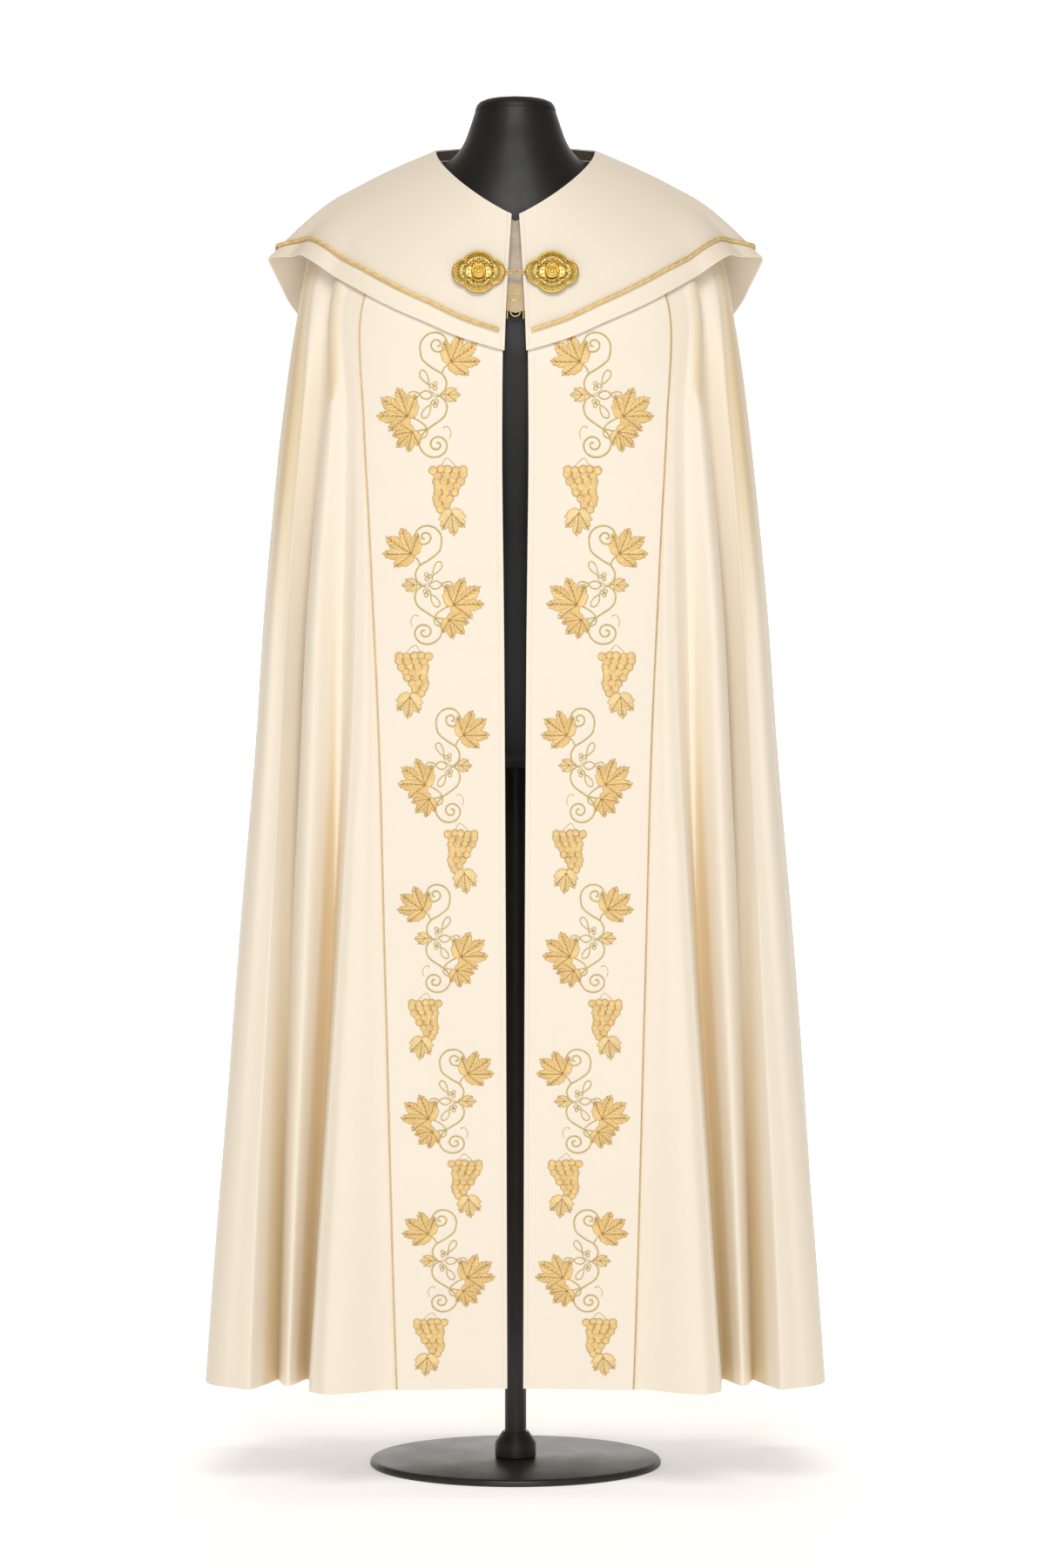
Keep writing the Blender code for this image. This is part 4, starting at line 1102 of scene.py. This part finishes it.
# How deep and how wide in degrees the padding dips at a vein, the lean of the stitches and of the twigs
# from it, the height of the veins, where the twigs leave a vein, and the leaf's length above which it has
# them.
VEIN_DIP, VEIN_DIP_WIDTH = 0.35, 3.5
STITCH_LEAN, TWIG_LEAN = 38, 40
VEIN_RISE = 0.55
TWIGS = (0.30, 0.46, 0.62, 0.78)
TWIG_SIZE = 18
# Columns: how far down a row of grapes lies, where it starts and ends, and how many it has.
GRAPES = [(155.6, 4.3, 37.4, 5), (162.0, 9.5, 38.0, 4), (168.4, 8.6, 35.0, 4), (175.0, 10.6, 31.0, 4),
          (181.6, 9.6, 29.0, 3), (188.1, 8.6, 23.6, 3), (194.6, 10.6, 19.6, 2), (200.4, 12.8, 12.8, 1)]
GRAPE_RADIUS = 4.6
# A grape's rings: part of its radius, and height.
GRAPE_RINGS = np.array([(0.25, 1.45), (0.55, 1.25), (0.82, 0.85), (1.0, 0.3), (1.0, -0.35)])
GRAPE_SIDES = 14
BUD_RADIUS = 2.1
# The repeats down the band.  Columns: the middle's distance from the centre line and the top's height in
# metres, how wide and how high they are against the drawing, and which way they face.
REPEATS = [(0.0977, 1.3080, 1.00, 1.00, 1), (0.0941, 1.0870, 0.98, 0.94, -1),
           (0.0801, 0.8795, 0.88, 0.90, 1), (0.0830, 0.6804, 0.87, 0.847, -1),
           (0.0754, 0.4948, 0.89, 0.809, 1), (0.0757, 0.3152, 0.885, 0.79, -1)]
UP = (0.0, 0.0, 1.0)
# Millimetres of the drawing to metres.
DRAWING = 1 / 1000


def flat(points, height=0.0):
    """Drawing points with a height above the cloth added."""
    points = np.asarray(points, float)
    return np.column_stack([points, np.full(len(points), height)])


def scroll(middle, start, way):
    """A spiral towards its middle from a starting angle; its reach shrinks by the SCROLL table."""
    turn = np.linspace(0, SCROLL[-1, 0], 48)
    reach = smooth(turn, SCROLL[:, 0], SCROLL[:, 1])
    return rings_round(middle, np.radians(start) + way * turn * 2 * math.pi, reach, 0)[:, :2]


def leaf_reach(angle, outline):
    """Reach of a leaf's toothed outline at an angle from its middle vein."""
    return np.interp(abs(angle), outline[:, 0], outline[:, 1])


def stitched(rings, lean):
    """Flat UVs in metres, turned so that the stitches lean by an angle in radians."""
    cos, sin = np.cos(lean), np.sin(lean)
    x, y = rings[..., 0], rings[..., 1]
    return np.stack([x * cos + y * sin, y * cos - x * sin], -1) * DRAWING


def leaf(heap, across, down, way, size, kind):
    """A padded leaf: rings from its base out to the toothed outline, raised veins and a couched edge."""
    table, lobes, body_slot = LEAF_KINDS[kind]
    turns = np.linspace(-180, 180, 120, endpoint=False)
    reach = leaf_reach(turns, table) * size
    nearest = lobes[np.argmin(abs(turns[:, None] - lobes), 1)]
    heading = np.radians(turns + way)
    parts, rises = PADDING[:, :1], PADDING[:, 1:]
    groove = 1 - VEIN_DIP * bell((turns - nearest) / VEIN_DIP_WIDTH)
    rings = rings_round((across, down), heading, parts * reach, rises * np.where(rises > 0, groove, 1))
    lean = np.radians(nearest + way + STITCH_LEAN * np.sign(turns - nearest + 0.01))
    heap.add(closed_dome(rings, stitched(rings, lean)), body_slot)
    outline = rings_round((across, down), heading, reach, 0.1)
    heap.add(sweep(outline, UP, 0.40, 0.55, THIN_RIDGE, closed=True), EDGE_SLOT)
    for lobe in lobes:
        tip = 0.88 * leaf_reach(lobe, table) * size
        along = np.linspace(0, tip, 7)
        bend = math.radians(lobe + way) + 0.06 * np.sin(along / tip * math.pi)
        vein = rings_round((across, down), bend, along, VEIN_RISE)
        heap.add(sweep(vein, UP, np.linspace(0.75, 0.35, 7), 0.55, THIN_RIDGE), VEIN_SLOT)
        for place in TWIGS if size > TWIG_SIZE else ():
            for hand in (1, -1):
                twig = np.linspace(0, tip * 0.30 * (1.2 - place * 0.7), 3)
                root = vein[int(round(place * 6))]
                path = rings_round(root, math.radians(lobe + way + hand * TWIG_LEAN), twig, VEIN_RISE)
                heap.add(sweep(path, UP, np.linspace(0.50, 0.28, 3), 0.45, THIN_RIDGE), VEIN_SLOT)


def grapes(heap, random):
    """The bunch: low domes in rows that narrow downwards, each a little off its place."""
    turn = even_turns(GRAPE_SIDES)
    parts, rises = GRAPE_RINGS[:, :1], GRAPE_RINGS[:, 1:]
    for down, start, end, count in GRAPES:
        for across in np.linspace(start, end, count):
            radius = GRAPE_RADIUS + random.uniform(-0.4, 0.4)
            middle = across + random.uniform(-1.0, 1.0), down + random.uniform(-1.0, 1.0)
            height = rises + random.uniform(-0.25, 0.35) * (parts < 1)
            rings = rings_round(middle, turn, parts * radius, height)
            heap.add(closed_dome(rings, stitched(rings, random.uniform(0, 2 * math.pi))), GRAPE_SLOT)
            rim = rings[3] - (0, 0, 0.05)
            heap.add(sweep(rim, UP, 0.36, 0.5, THIN_RIDGE, closed=True), EDGE_SLOT)


def vine_repeat(random):
    """One repeat of the vine on the flat: scrolls and stem, sprigs, loops, buds, leaves and the bunch."""
    heap = Heap()

    def stitch(path, lift, width, height, profile, closed=False):
        heap.add(sweep(flat(path, lift), UP, width, height, profile, closed), STEM_SLOT)

    top, bottom = scroll((8.9, 12.2), 164.7, 1), scroll((8.9, 127.1), 182.8, -1)
    middle = through([top[0], *STEM, bottom[0]], 7)[1:-1]
    stitch(np.concatenate([top[::-1], middle, bottom]), 0, 1.10, 0.95, RIDGE)
    for sprig in SPRIGS:
        stitch(through(sprig, 6), 0.05, 0.90, 0.8, RIDGE)
    for tendril in TENDRILS:
        stitch(through(tendril, 5), 0.05, 0.50, 0.55, THIN_RIDGE)
    for loop in LOOPS:
        stitch(through(loop, 5, closed=True), 0.05, 0.80, 0.75, RIDGE, True)
    for bud in BUDS:
        stitch(bud + BUD_RADIUS * circle(14), 0.05, 0.72, 0.75, THIN_RIDGE, True)
    for across, down, way, size, kind in LEAVES:
        leaf(heap, across, down, way, size, kind)
    grapes(heap, random)
    return heap.arrays()


def vine():
    """The vine down each band: the repeat mirrored in turn, laid on the band's own surface."""
    finishes = [finish_named(f"{part} thread") for part in VINE_THREADS]
    ground = LAYER_GAP + bpy.context.scene.cope_cloth.band_thickness - TURNED_RISE
    points, faces, uv, slots = vine_repeat(np.random.default_rng(4))
    mirrored = [face[::-1] for face in faces]
    for side, word in SIDES:
        heap = Heap()
        for middle, top, wide, high, facing in REPEATS:
            x = middle - points[:, 0] * wide * facing * DRAWING
            z = top - points[:, 1] * high * DRAWING
            placed = on_band(x, z, side, ground + points[:, 2] * DRAWING)
            heap.add((placed, mirrored if side * facing < 0 else faces, uv), slots)
        laid, corners, places, threads = heap.arrays()
        piece = new_piece(f"vine_{word}", laid, corners, finishes, places, threads, smooth_angle=70)


# ---------------------------------------------------------------- the clasp

CLASP_X = 0.0418
CLASP_Z = 1.378
CLASP_STAND = 0.0026
# The slots of a medallion's finishes.
POLISHED, CHASED = range(2)
# Each lobe's middle from the medallion's centre and its radius, and where its shell fan starts: the side
# lobes, then the top and foot.
CLASP_LOBES = ((0.0150, 0.0155), (0.0052, 0.0198))
CLASP_FANS = (0.0159, 0.0108)
# The height of the rim's face and of the domes above it, how deep the ground lies, and how high the rim's
# side is.
CLASP_RIM = 0.0022
CLASP_DOME = 0.0036
CHASING_DEPTH = 0.0007
RIM_SIDE = 0.0014
# The face's height above the rim, in parts of the dome, at parts of the way out to the outline.
FACE_PARTS = (0.30, 0.46, 0.66, 0.86, 1.0)
FACE_RISES = (0.15, 0.15, 0.62, 0.20, 0.0)
# The rims: part of the outline, half width and height.
RIMS = ((0.965, 0.00105, 0.0013), (0.875, 0.00050, 0.0008))
# How wide a rib or petal is along its length, and a bead's rings: part of its radius and of its height.
SWELL = np.array([0.45, 0.8, 1.0, 1.1, 1.0, 0.75, 0.35])
BEAD_RINGS = np.array([(0.2, 1.0), (0.6, 0.8), (0.9, 0.45), (1.0, 0.0), (1.0, -0.4)])
PETALS = 14
BEAD_TURNS = (39, 141, 219, 321)
# The boss: its disc's radii and heights, and its rings' radii, half widths and heights.
BOSS_DISC = np.array([(0.0003, 0.0012), (0.0082, 0.0012), (0.0087, 0.0006), (0.0087, -0.0026),
                      (0.0003, -0.0026)])
BOSS_RINGS = ((0.0077, 0.0010, 0.0013), (0.0050, 0.0011, 0.0020))
HOOK = [(-0.0024, 0.0, 0.0006), (-0.0010, 0.0022, 0.0012), (0.0008, 0.0024, 0.0008),
        (0.0013, 0.0006, 0.0), (0.0, -0.0008, 0.0010), (-0.0008, -0.0023, 0.0008),
        (0.0010, -0.0026, 0.0004), (0.0026, -0.0002, 0.0)]


def quatrefoil(theta):
    """Distance from a medallion's centre to its outline: the farthest of four overlapping round lobes."""
    reach = 0
    for k in range(4):
        far, radius = CLASP_LOBES[k % 2]
        turn = theta - k * math.pi / 2
        inside = np.maximum(radius ** 2 - (far * np.sin(turn)) ** 2, 0)
        reach = np.maximum(reach, far * np.cos(turn) + np.sqrt(inside))
    return reach


def clasp_place(side):
    """A medallion's centre on the hood, and the directions across, up and out of it."""
    drops = np.linspace(0.03, 0.10, 141)
    points = hood_points(angle_at(side * CLASP_X, drops), drops / FRONT_CORD_DROP)
    centre = points[np.argmin(abs(points[:, 2] - CLASP_Z))]
    up = points[np.argmin(abs(points[:, 2] - CLASP_Z - 0.02))] - centre
    up[0] = 0
    up /= np.linalg.norm(up)
    across = np.array((1.0, 0, 0))
    out = np.cross(across, up)
    return centre + out * CLASP_STAND, np.array([across, up, out])


def face_height(p, q):
    """Height of the medallion's face: a rim, a dome in each lobe, and a recess round the boss."""
    part = np.hypot(p, q) / quatrefoil(np.arctan2(q, p))
    return CLASP_RIM + CLASP_DOME * np.interp(part, FACE_PARTS, FACE_RISES)


def turned_by(points, turn):
    """Flat points turned about the medallion's centre."""
    cos, sin = math.cos(turn), math.sin(turn)
    x, y = points[:, 0], points[:, 1]
    return np.stack([x * cos - y * sin, x * sin + y * cos], -1)


def bead(heap, place, radius, height):
    """A small dome on the medallion's face."""
    reach, rise = BEAD_RINGS[:, :1] * radius, BEAD_RINGS[:, 1:] * height
    rings = rings_round(place, even_turns(12), reach, place[2] + rise)
    heap.add(closed_dome(rings, rings[..., :2]), POLISHED)


def chase(heap, path, width, height, closed=False):
    """A raised line along a flat path on the medallion's face."""
    path = np.column_stack([path, face_height(path[:, 0], path[:, 1])])
    heap.add(sweep(path, UP, width, height, RIDGE, closed), POLISHED)


def chased_bead(heap, place, radius, height):
    """A bead at a flat place on the medallion's face."""
    bead(heap, (*place, face_height(*place)), radius, height)


def lobe_chasing(heap, way, far):
    """What a lobe carries: a shell fan with a bead at its root, and a scroll on each side."""
    root = np.array((far - 0.0005, 0.0))
    for rib in np.radians((-52, -26, 0, 26, 52)):
        reach = np.linspace(0.0018, 0.0100 - 0.0016 * abs(rib), len(SWELL))
        path = root + np.stack([reach * math.cos(rib), reach * math.sin(rib)], -1)
        chase(heap, turned_by(path, way), SWELL * 0.00095, 0.0011)
    chased_bead(heap, turned_by(root[None] + (0.0008, 0), way)[0], 0.0017, 0.0015)
    for hand in (1, -1):
        turn = np.linspace(0, 1.35, 26)
        curl = np.stack([-np.cos(2 * math.pi * turn), -hand * np.sin(2 * math.pi * turn)], -1)
        curl = (far - 0.0012, hand * 0.0086) + curl * 0.0026 * (1 - turn / 2.0)[:, None]
        curl = turned_by(curl, way)
        chase(heap, curl, np.linspace(0.00070, 0.00045, len(turn)), 0.0011)
        chased_bead(heap, curl[-1], 0.0009, 0.0011)


def boss(heap):
    """The boss: a dark disc with two rings and a bead."""
    top = CLASP_RIM + CLASP_DOME * 0.6
    face = top + BOSS_DISC[0, 1]
    rings = rings_round((0, 0), even_turns(48), BOSS_DISC[:, :1], top + BOSS_DISC[:, 1:])
    heap.add(closed_dome(rings, rings[..., :2]), CHASED)
    for radius, width, height in BOSS_RINGS:
        path = np.column_stack([circle(48) * radius, np.full(48, face)])
        heap.add(sweep(path, UP, width, height, RIDGE, closed=True), POLISHED)
    bead(heap, (0.0, 0.0, face), 0.0026, 0.0030)


def medallion(side, word):
    """A chased quatrefoil: a double rim, a shell and two scrolls in each lobe, petals, and the boss."""
    heap = Heap()
    theta = even_turns(120)
    parts = np.concatenate([[0.04, 0.15, 0.25], np.linspace(0.32, 0.9, 12), [0.97, 1.0, 1.0, 0.6, 0.1]])
    reach = parts[:, None] * quatrefoil(theta)
    height = face_height(reach * np.cos(theta), reach * np.sin(theta)) - CHASING_DEPTH
    # The last four rings are the rim's side and the back.
    height[-4:] = np.array((RIM_SIDE, 0, 0, 0))[:, None]
    rings = rings_round((0, 0), theta, reach, height)
    heap.add(closed_dome(rings, rings[..., :2]), CHASED)
    edge = circle(200) * quatrefoil(even_turns(200))[:, None]
    for part, width, rise in RIMS:
        chase(heap, edge * part, width, rise, closed=True)
    for k in range(4):
        lobe_chasing(heap, k * math.pi / 2, CLASP_FANS[k % 2])
    petal = np.column_stack([np.linspace(0.0098, 0.0128, len(SWELL)), np.zeros(len(SWELL))])
    for k in range(PETALS):
        chase(heap, turned_by(petal, 2 * math.pi * (k + 0.5) / PETALS), SWELL * 0.0010, 0.0011)
    for turn in np.radians(BEAD_TURNS):
        chased_bead(heap, 0.0192 * np.array((math.cos(turn), math.sin(turn))), 0.0016, 0.0013)
    boss(heap)
    points, faces, uv, slots = heap.arrays()
    centre, axes = clasp_place(side)
    finishes = [finish_named("polished gilt"), finish_named("chased gilt")]
    placed = centre + points @ axes
    piece = new_piece(f"medallion_{word}", placed, faces, finishes, uv, slots, smooth_angle=60)
    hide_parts(f"clasp_medallion_{word}", f"clasp_boss_{word}")


def links():
    """The two eyes and the hook between the medallions, closed."""
    centre, axes = clasp_place(1)
    across, _, out = axes
    centre = centre - across * CLASP_X + out * CLASP_RIM / 2
    heap = Heap()
    oval = np.tanh(2 * circle(40)) / np.tanh(2) * (0.0040, 0.0015)
    for hand in (1, -1):
        eye = np.column_stack([oval + (hand * 0.0064, 0), np.zeros(len(oval))])
        heap.add(sweep(eye, UP, 0.00068, 0.00080, circle(8), closed=True))
    heap.add(sweep(through(HOOK), UP, 0.00060, 0.00060, circle(8)))
    points, faces, uv, slots = heap.arrays()
    placed = centre + points @ axes
    piece = new_piece("clasp_links", placed, faces, [finish_named("polished gilt")], uv, slots)
    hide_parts("clasp_link_left", "clasp_link_right", "clasp_hook")


# ---------------------------------------------------------------- the form

# The neck cap's rings: part of the torso's top ring, and part of the cap's height.
NECK_CAP = np.array([(0.25, 1.0), (0.55, 0.97), (0.78, 0.86), (0.90, 0.70), (0.965, 0.46), (0.99, 0.22),
                     (1.0, 0.10), (1.0, 0.0)])
# The collar: its gap to the pole, the width of its flat top, the height of its cone and of the shoulder
# below it, and its chamfers.
COLLAR_GAP = 0.0006
COLLAR_LIP = 0.0022
COLLAR_CONE = 0.0105
COLLAR_SHOULDER = 0.003
COLLAR_CHAMFER = 0.0012
# The base's rounded rim, in from its radius and down from its top, and the chamfer at its foot.
BASE_RIM = ((0.0045, 0), (0.0022, 0.0006), (0.0007, 0.0021), (0, 0.0042))
BASE_CHAMFER = 0.0012


def ring_solid(name, rings, finish, smooth_angle=40):
    """A closed solid from rings stacked top to bottom."""
    rows, columns = rings.shape[:2]
    uv = np.stack(np.meshgrid(np.arange(columns) / columns, np.arange(rows) / rows), -1)
    points, faces, places = tube_mesh(rings[::-1], uv)
    return new_piece(name, points, faces, [finish], places, smooth_angle=smooth_angle)


def turned(name, profile, finish, sides):
    """A solid turned round the pole from a profile of radius and height, top to bottom."""
    radius, height = np.array(profile, float).T[..., None]
    return ring_solid(name, rings_round((0, 0), even_turns(sides), radius, height), finish)


def form(shell_finish, metal_finish, pole_radius, base_radius):
    """The torso and its neck cap, the pole, its collar and the base."""
    angles = np.linspace(-180, 180, 96, endpoint=False)
    rows = np.linspace(0, len(TORSO) - 1, 90)
    sections = smooth(rows, np.arange(len(TORSO)), TORSO)
    torso = ring_solid("torso_shell", ring(angles, sections[:, None, :]), shell_finish, 50)
    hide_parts("form_torso")
    low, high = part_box("form_neck_cap")
    cap = np.tile(TORSO[0], (len(NECK_CAP), 1))
    cap[:, (0, 2, 4)] *= NECK_CAP[:, :1]
    cap[:, (1, 3, 5)] = low.z + (high.z - low.z) * NECK_CAP[:, 1:]
    neck = ring_solid("neck_cap", ring(angles, cap[:, None, :]), shell_finish)
    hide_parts("form_neck_cap")
    low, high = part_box("form_pole")
    pole = turned("pole", [(pole_radius, high.z), (pole_radius, low.z)], metal_finish, 48)
    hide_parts("form_pole")
    low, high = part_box("form_collar")
    inner, outer = pole_radius + COLLAR_GAP, high.x
    collar = turned("pole_collar", [
        (inner, high.z), (inner + COLLAR_LIP, high.z),
        (outer - COLLAR_CHAMFER, high.z - COLLAR_CONE), (outer, high.z - COLLAR_CONE - COLLAR_SHOULDER),
        (outer, low.z + COLLAR_CHAMFER), (outer - COLLAR_CHAMFER, low.z), (inner, low.z),
    ], metal_finish, 96)
    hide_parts("form_collar")
    low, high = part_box("form_base")
    rim = [(base_radius - inwards, high.z - down) for inwards, down in BASE_RIM]
    foot = [(base_radius, BASE_CHAMFER), (base_radius - BASE_CHAMFER, low.z)]
    base = turned("round_base", rim + foot, metal_finish, 160)
    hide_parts("form_base")


# ---------------------------------------------------------------- the stage

PAPER_FRONT = -7.0
PAPER_HALF_WIDTH = 6.0
PAPER_BEND_START = 5.0
PAPER_BEND = 2.0
PAPER_GLOW = 0.45
# Lights: name, place, what they face, power against the front light, width and height.
LIGHTS = (
    ("front light", (0.0, -4.6, 4.6), (0, 0, 0.95), 1.0, 3.2, 2.2),
    ("low light", (0.0, -5.4, 0.8), (0, 0, 0.8), 0.24, 3.6, 2.4),
    ("backdrop light", (0.0, 2.6, 5.2), (0, 7.0, 1.2), 1.2, 5.0, 1.0),
)
SURROUND = (1.0, 0.84, 0.62, 1)
SURROUND_STRENGTH = 0.29
# The camera looks straight back at the cope from its middle height.
CAMERA_X, CAMERA_Z = 0.00816, 0.7956
LENS = 98.04
SENSOR = 36.0


def paper_sweep(finish):
    """A paper floor that curves up into a backdrop far behind."""
    profile = [(y, 0.0) for y in np.linspace(PAPER_FRONT, PAPER_BEND_START, 10)]
    profile += [(PAPER_BEND_START + PAPER_BEND * math.sin(turn), PAPER_BEND * (1 - math.cos(turn)))
                for turn in np.linspace(0.1, math.pi / 2, 16)]
    profile += [(PAPER_BEND_START + PAPER_BEND, z) for z in (3.0, 5.0, 7.0)]
    y, z = np.array(profile).T[..., None]
    x = np.linspace(-PAPER_HALF_WIDTH, PAPER_HALF_WIDTH, 9)
    grid = np.stack(np.broadcast_arrays(x, y, z), -1)
    mesh = bpy.data.meshes.new("paper")
    mesh.from_pydata(grid.reshape(-1, 3).tolist(), [], quad_grid(*grid.shape[:2]).tolist())
    mesh.materials.append(finish)
    mesh.shade_smooth()
    paper = bpy.data.objects.new("paper", mesh)
    bpy.context.scene.collection.objects.link(paper)


def area_light(name, place, aim, power, width, height):
    """A rectangular soft light that faces a point."""
    light = bpy.data.lights.new(name, "AREA")
    light.shape = "RECTANGLE"
    light.size, light.size_y, light.energy = width, height, power
    lamp = bpy.data.objects.new(name, light)
    lamp.location = place
    lamp.rotation_euler = (Vector(aim) - Vector(place)).to_track_quat("-Z", "Y").to_euler()
    bpy.context.scene.collection.objects.link(lamp)


# ---------------------------------------------------------------- operators

class COPE_OT_mantle(bpy.types.Operator):
    """Make the mantle's fronts and back"""
    bl_idname = "cope.mantle"
    bl_label = "Mantle"

    def execute(self, context):
        scene = context.scene
        mantle_fronts(scene.cope_cloth.mantle_thickness)
        mantle_back(scene.cope_cloth.mantle_thickness)
        return {"FINISHED"}


class COPE_OT_bands(bpy.types.Operator):
    """Make the bands down the front edges"""
    bl_idname = "cope.bands"
    bl_label = "Bands"

    def execute(self, context):
        scene = context.scene
        bands(scene.cope_cloth.band_thickness, scene.cope_gold.seam_cord_radius)
        return {"FINISHED"}


class COPE_OT_hood(bpy.types.Operator):
    """Make the hood"""
    bl_idname = "cope.hood"
    bl_label = "Hood"

    def execute(self, context):
        scene = context.scene
        hood(scene.cope_cloth.hood_thickness)
        return {"FINISHED"}


class COPE_OT_cords(bpy.types.Operator):
    """Make the hood's cord and the piping along the bands"""
    bl_idname = "cope.cords"
    bl_label = "Cords"

    def execute(self, context):
        scene = context.scene
        hood_cord(scene.cope_gold.hood_cord_radius)
        seam_cords(scene.cope_gold.seam_cord_radius)
        return {"FINISHED"}


class COPE_OT_tab(bpy.types.Operator):
    """Make the closing tab and its rings"""
    bl_idname = "cope.tab"
    bl_label = "Closing tab"

    def execute(self, context):
        scene = context.scene
        closing_tab(scene.cope_cloth.tab_thickness, -scene.cope_cloth.mantle_thickness - TAB_BEHIND)
        return {"FINISHED"}


class COPE_OT_vine(bpy.types.Operator):
    """Embroider the vine down the bands"""
    bl_idname = "cope.vine"
    bl_label = "Embroidered vine"

    def execute(self, context):
        vine()
        return {"FINISHED"}


class COPE_OT_clasp(bpy.types.Operator):
    """Make the clasp's medallions, eyes and hook"""
    bl_idname = "cope.clasp"
    bl_label = "Clasp"

    def execute(self, context):
        medallion(1, "left")
        medallion(-1, "right")
        links()
        return {"FINISHED"}


class COPE_OT_form(bpy.types.Operator):
    """Make the dress form and its stand"""
    bl_idname = "cope.form"
    bl_label = "Dress form"

    def execute(self, context):
        scene = context.scene
        form(finish_named("black shell"), finish_named("black metal"), scene.cope_form.pole_radius,
             scene.cope_form.base_radius)
        return {"FINISHED"}


class COPE_OT_stage(bpy.types.Operator):
    """Set the paper, the lights and the camera"""
    bl_idname = "cope.stage"
    bl_label = "Stage"

    def execute(self, context):
        scene = context.scene
        stage = scene.cope_stage
        paper_sweep(plain_white("white paper", stage.paper, PAPER_GLOW))
        for name, place, aim, power, width, height in LIGHTS:
            area_light(name, place, aim, stage.key_power * power, width, height)
        world = bpy.data.worlds.new("soft surround")
        world.use_nodes = True
        background = world.node_tree.nodes["Background"]
        background.inputs["Color"].default_value = SURROUND
        background.inputs["Strength"].default_value = SURROUND_STRENGTH
        scene.world = world
        scene.view_settings.view_transform = "Standard"
        lens = bpy.data.cameras.new("camera")
        lens.lens = LENS
        lens.sensor_width = SENSOR
        lens.sensor_fit = "AUTO"
        camera = bpy.data.objects.new("camera", lens)
        camera.location = (CAMERA_X, -stage.camera_distance, CAMERA_Z)
        camera.rotation_euler = (math.pi / 2, 0, 0)
        scene.collection.objects.link(camera)
        scene.camera = camera
        return {"FINISHED"}


OPERATORS = (COPE_OT_mantle, COPE_OT_bands, COPE_OT_hood, COPE_OT_cords, COPE_OT_tab, COPE_OT_vine,
             COPE_OT_clasp, COPE_OT_form, COPE_OT_stage)
SETTINGS = {"cope_cloth": ClothSettings, "cope_gold": GoldSettings, "cope_form": FormSettings,
            "cope_stage": StageSettings}


class COPE_PT_panel(bpy.types.Panel):
    """The cope's pieces and settings"""
    bl_idname = "COPE_PT_panel"
    bl_label = "Cope"
    bl_space_type = "VIEW_3D"
    bl_region_type = "UI"
    bl_category = "Cope"

    def draw(self, context):
        for operator in OPERATORS:
            self.layout.operator(operator.bl_idname)
        for settings in (getattr(context.scene, name) for name in SETTINGS):
            box = self.layout.box()
            for name in settings.__annotations__:
                box.prop(settings, name)


def register():
    for kind in (*SETTINGS.values(), *OPERATORS, COPE_PT_panel):
        bpy.utils.register_class(kind)
    for name, kind in SETTINGS.items():
        setattr(bpy.types.Scene, name, bpy.props.PointerProperty(type=kind))


def unregister():
    for name in SETTINGS:
        delattr(bpy.types.Scene, name)
    for kind in (COPE_PT_panel, *reversed(OPERATORS), *SETTINGS.values()):
        bpy.utils.unregister_class(kind)


def main():
    register()
    bpy.ops.cope.mantle()
    bpy.ops.cope.bands()
    bpy.ops.cope.hood()
    bpy.ops.cope.cords()
    bpy.ops.cope.tab()
    bpy.ops.cope.vine()
    bpy.ops.cope.clasp()
    bpy.ops.cope.form()
    bpy.ops.cope.stage()


if __name__ == "__main__":
    main()
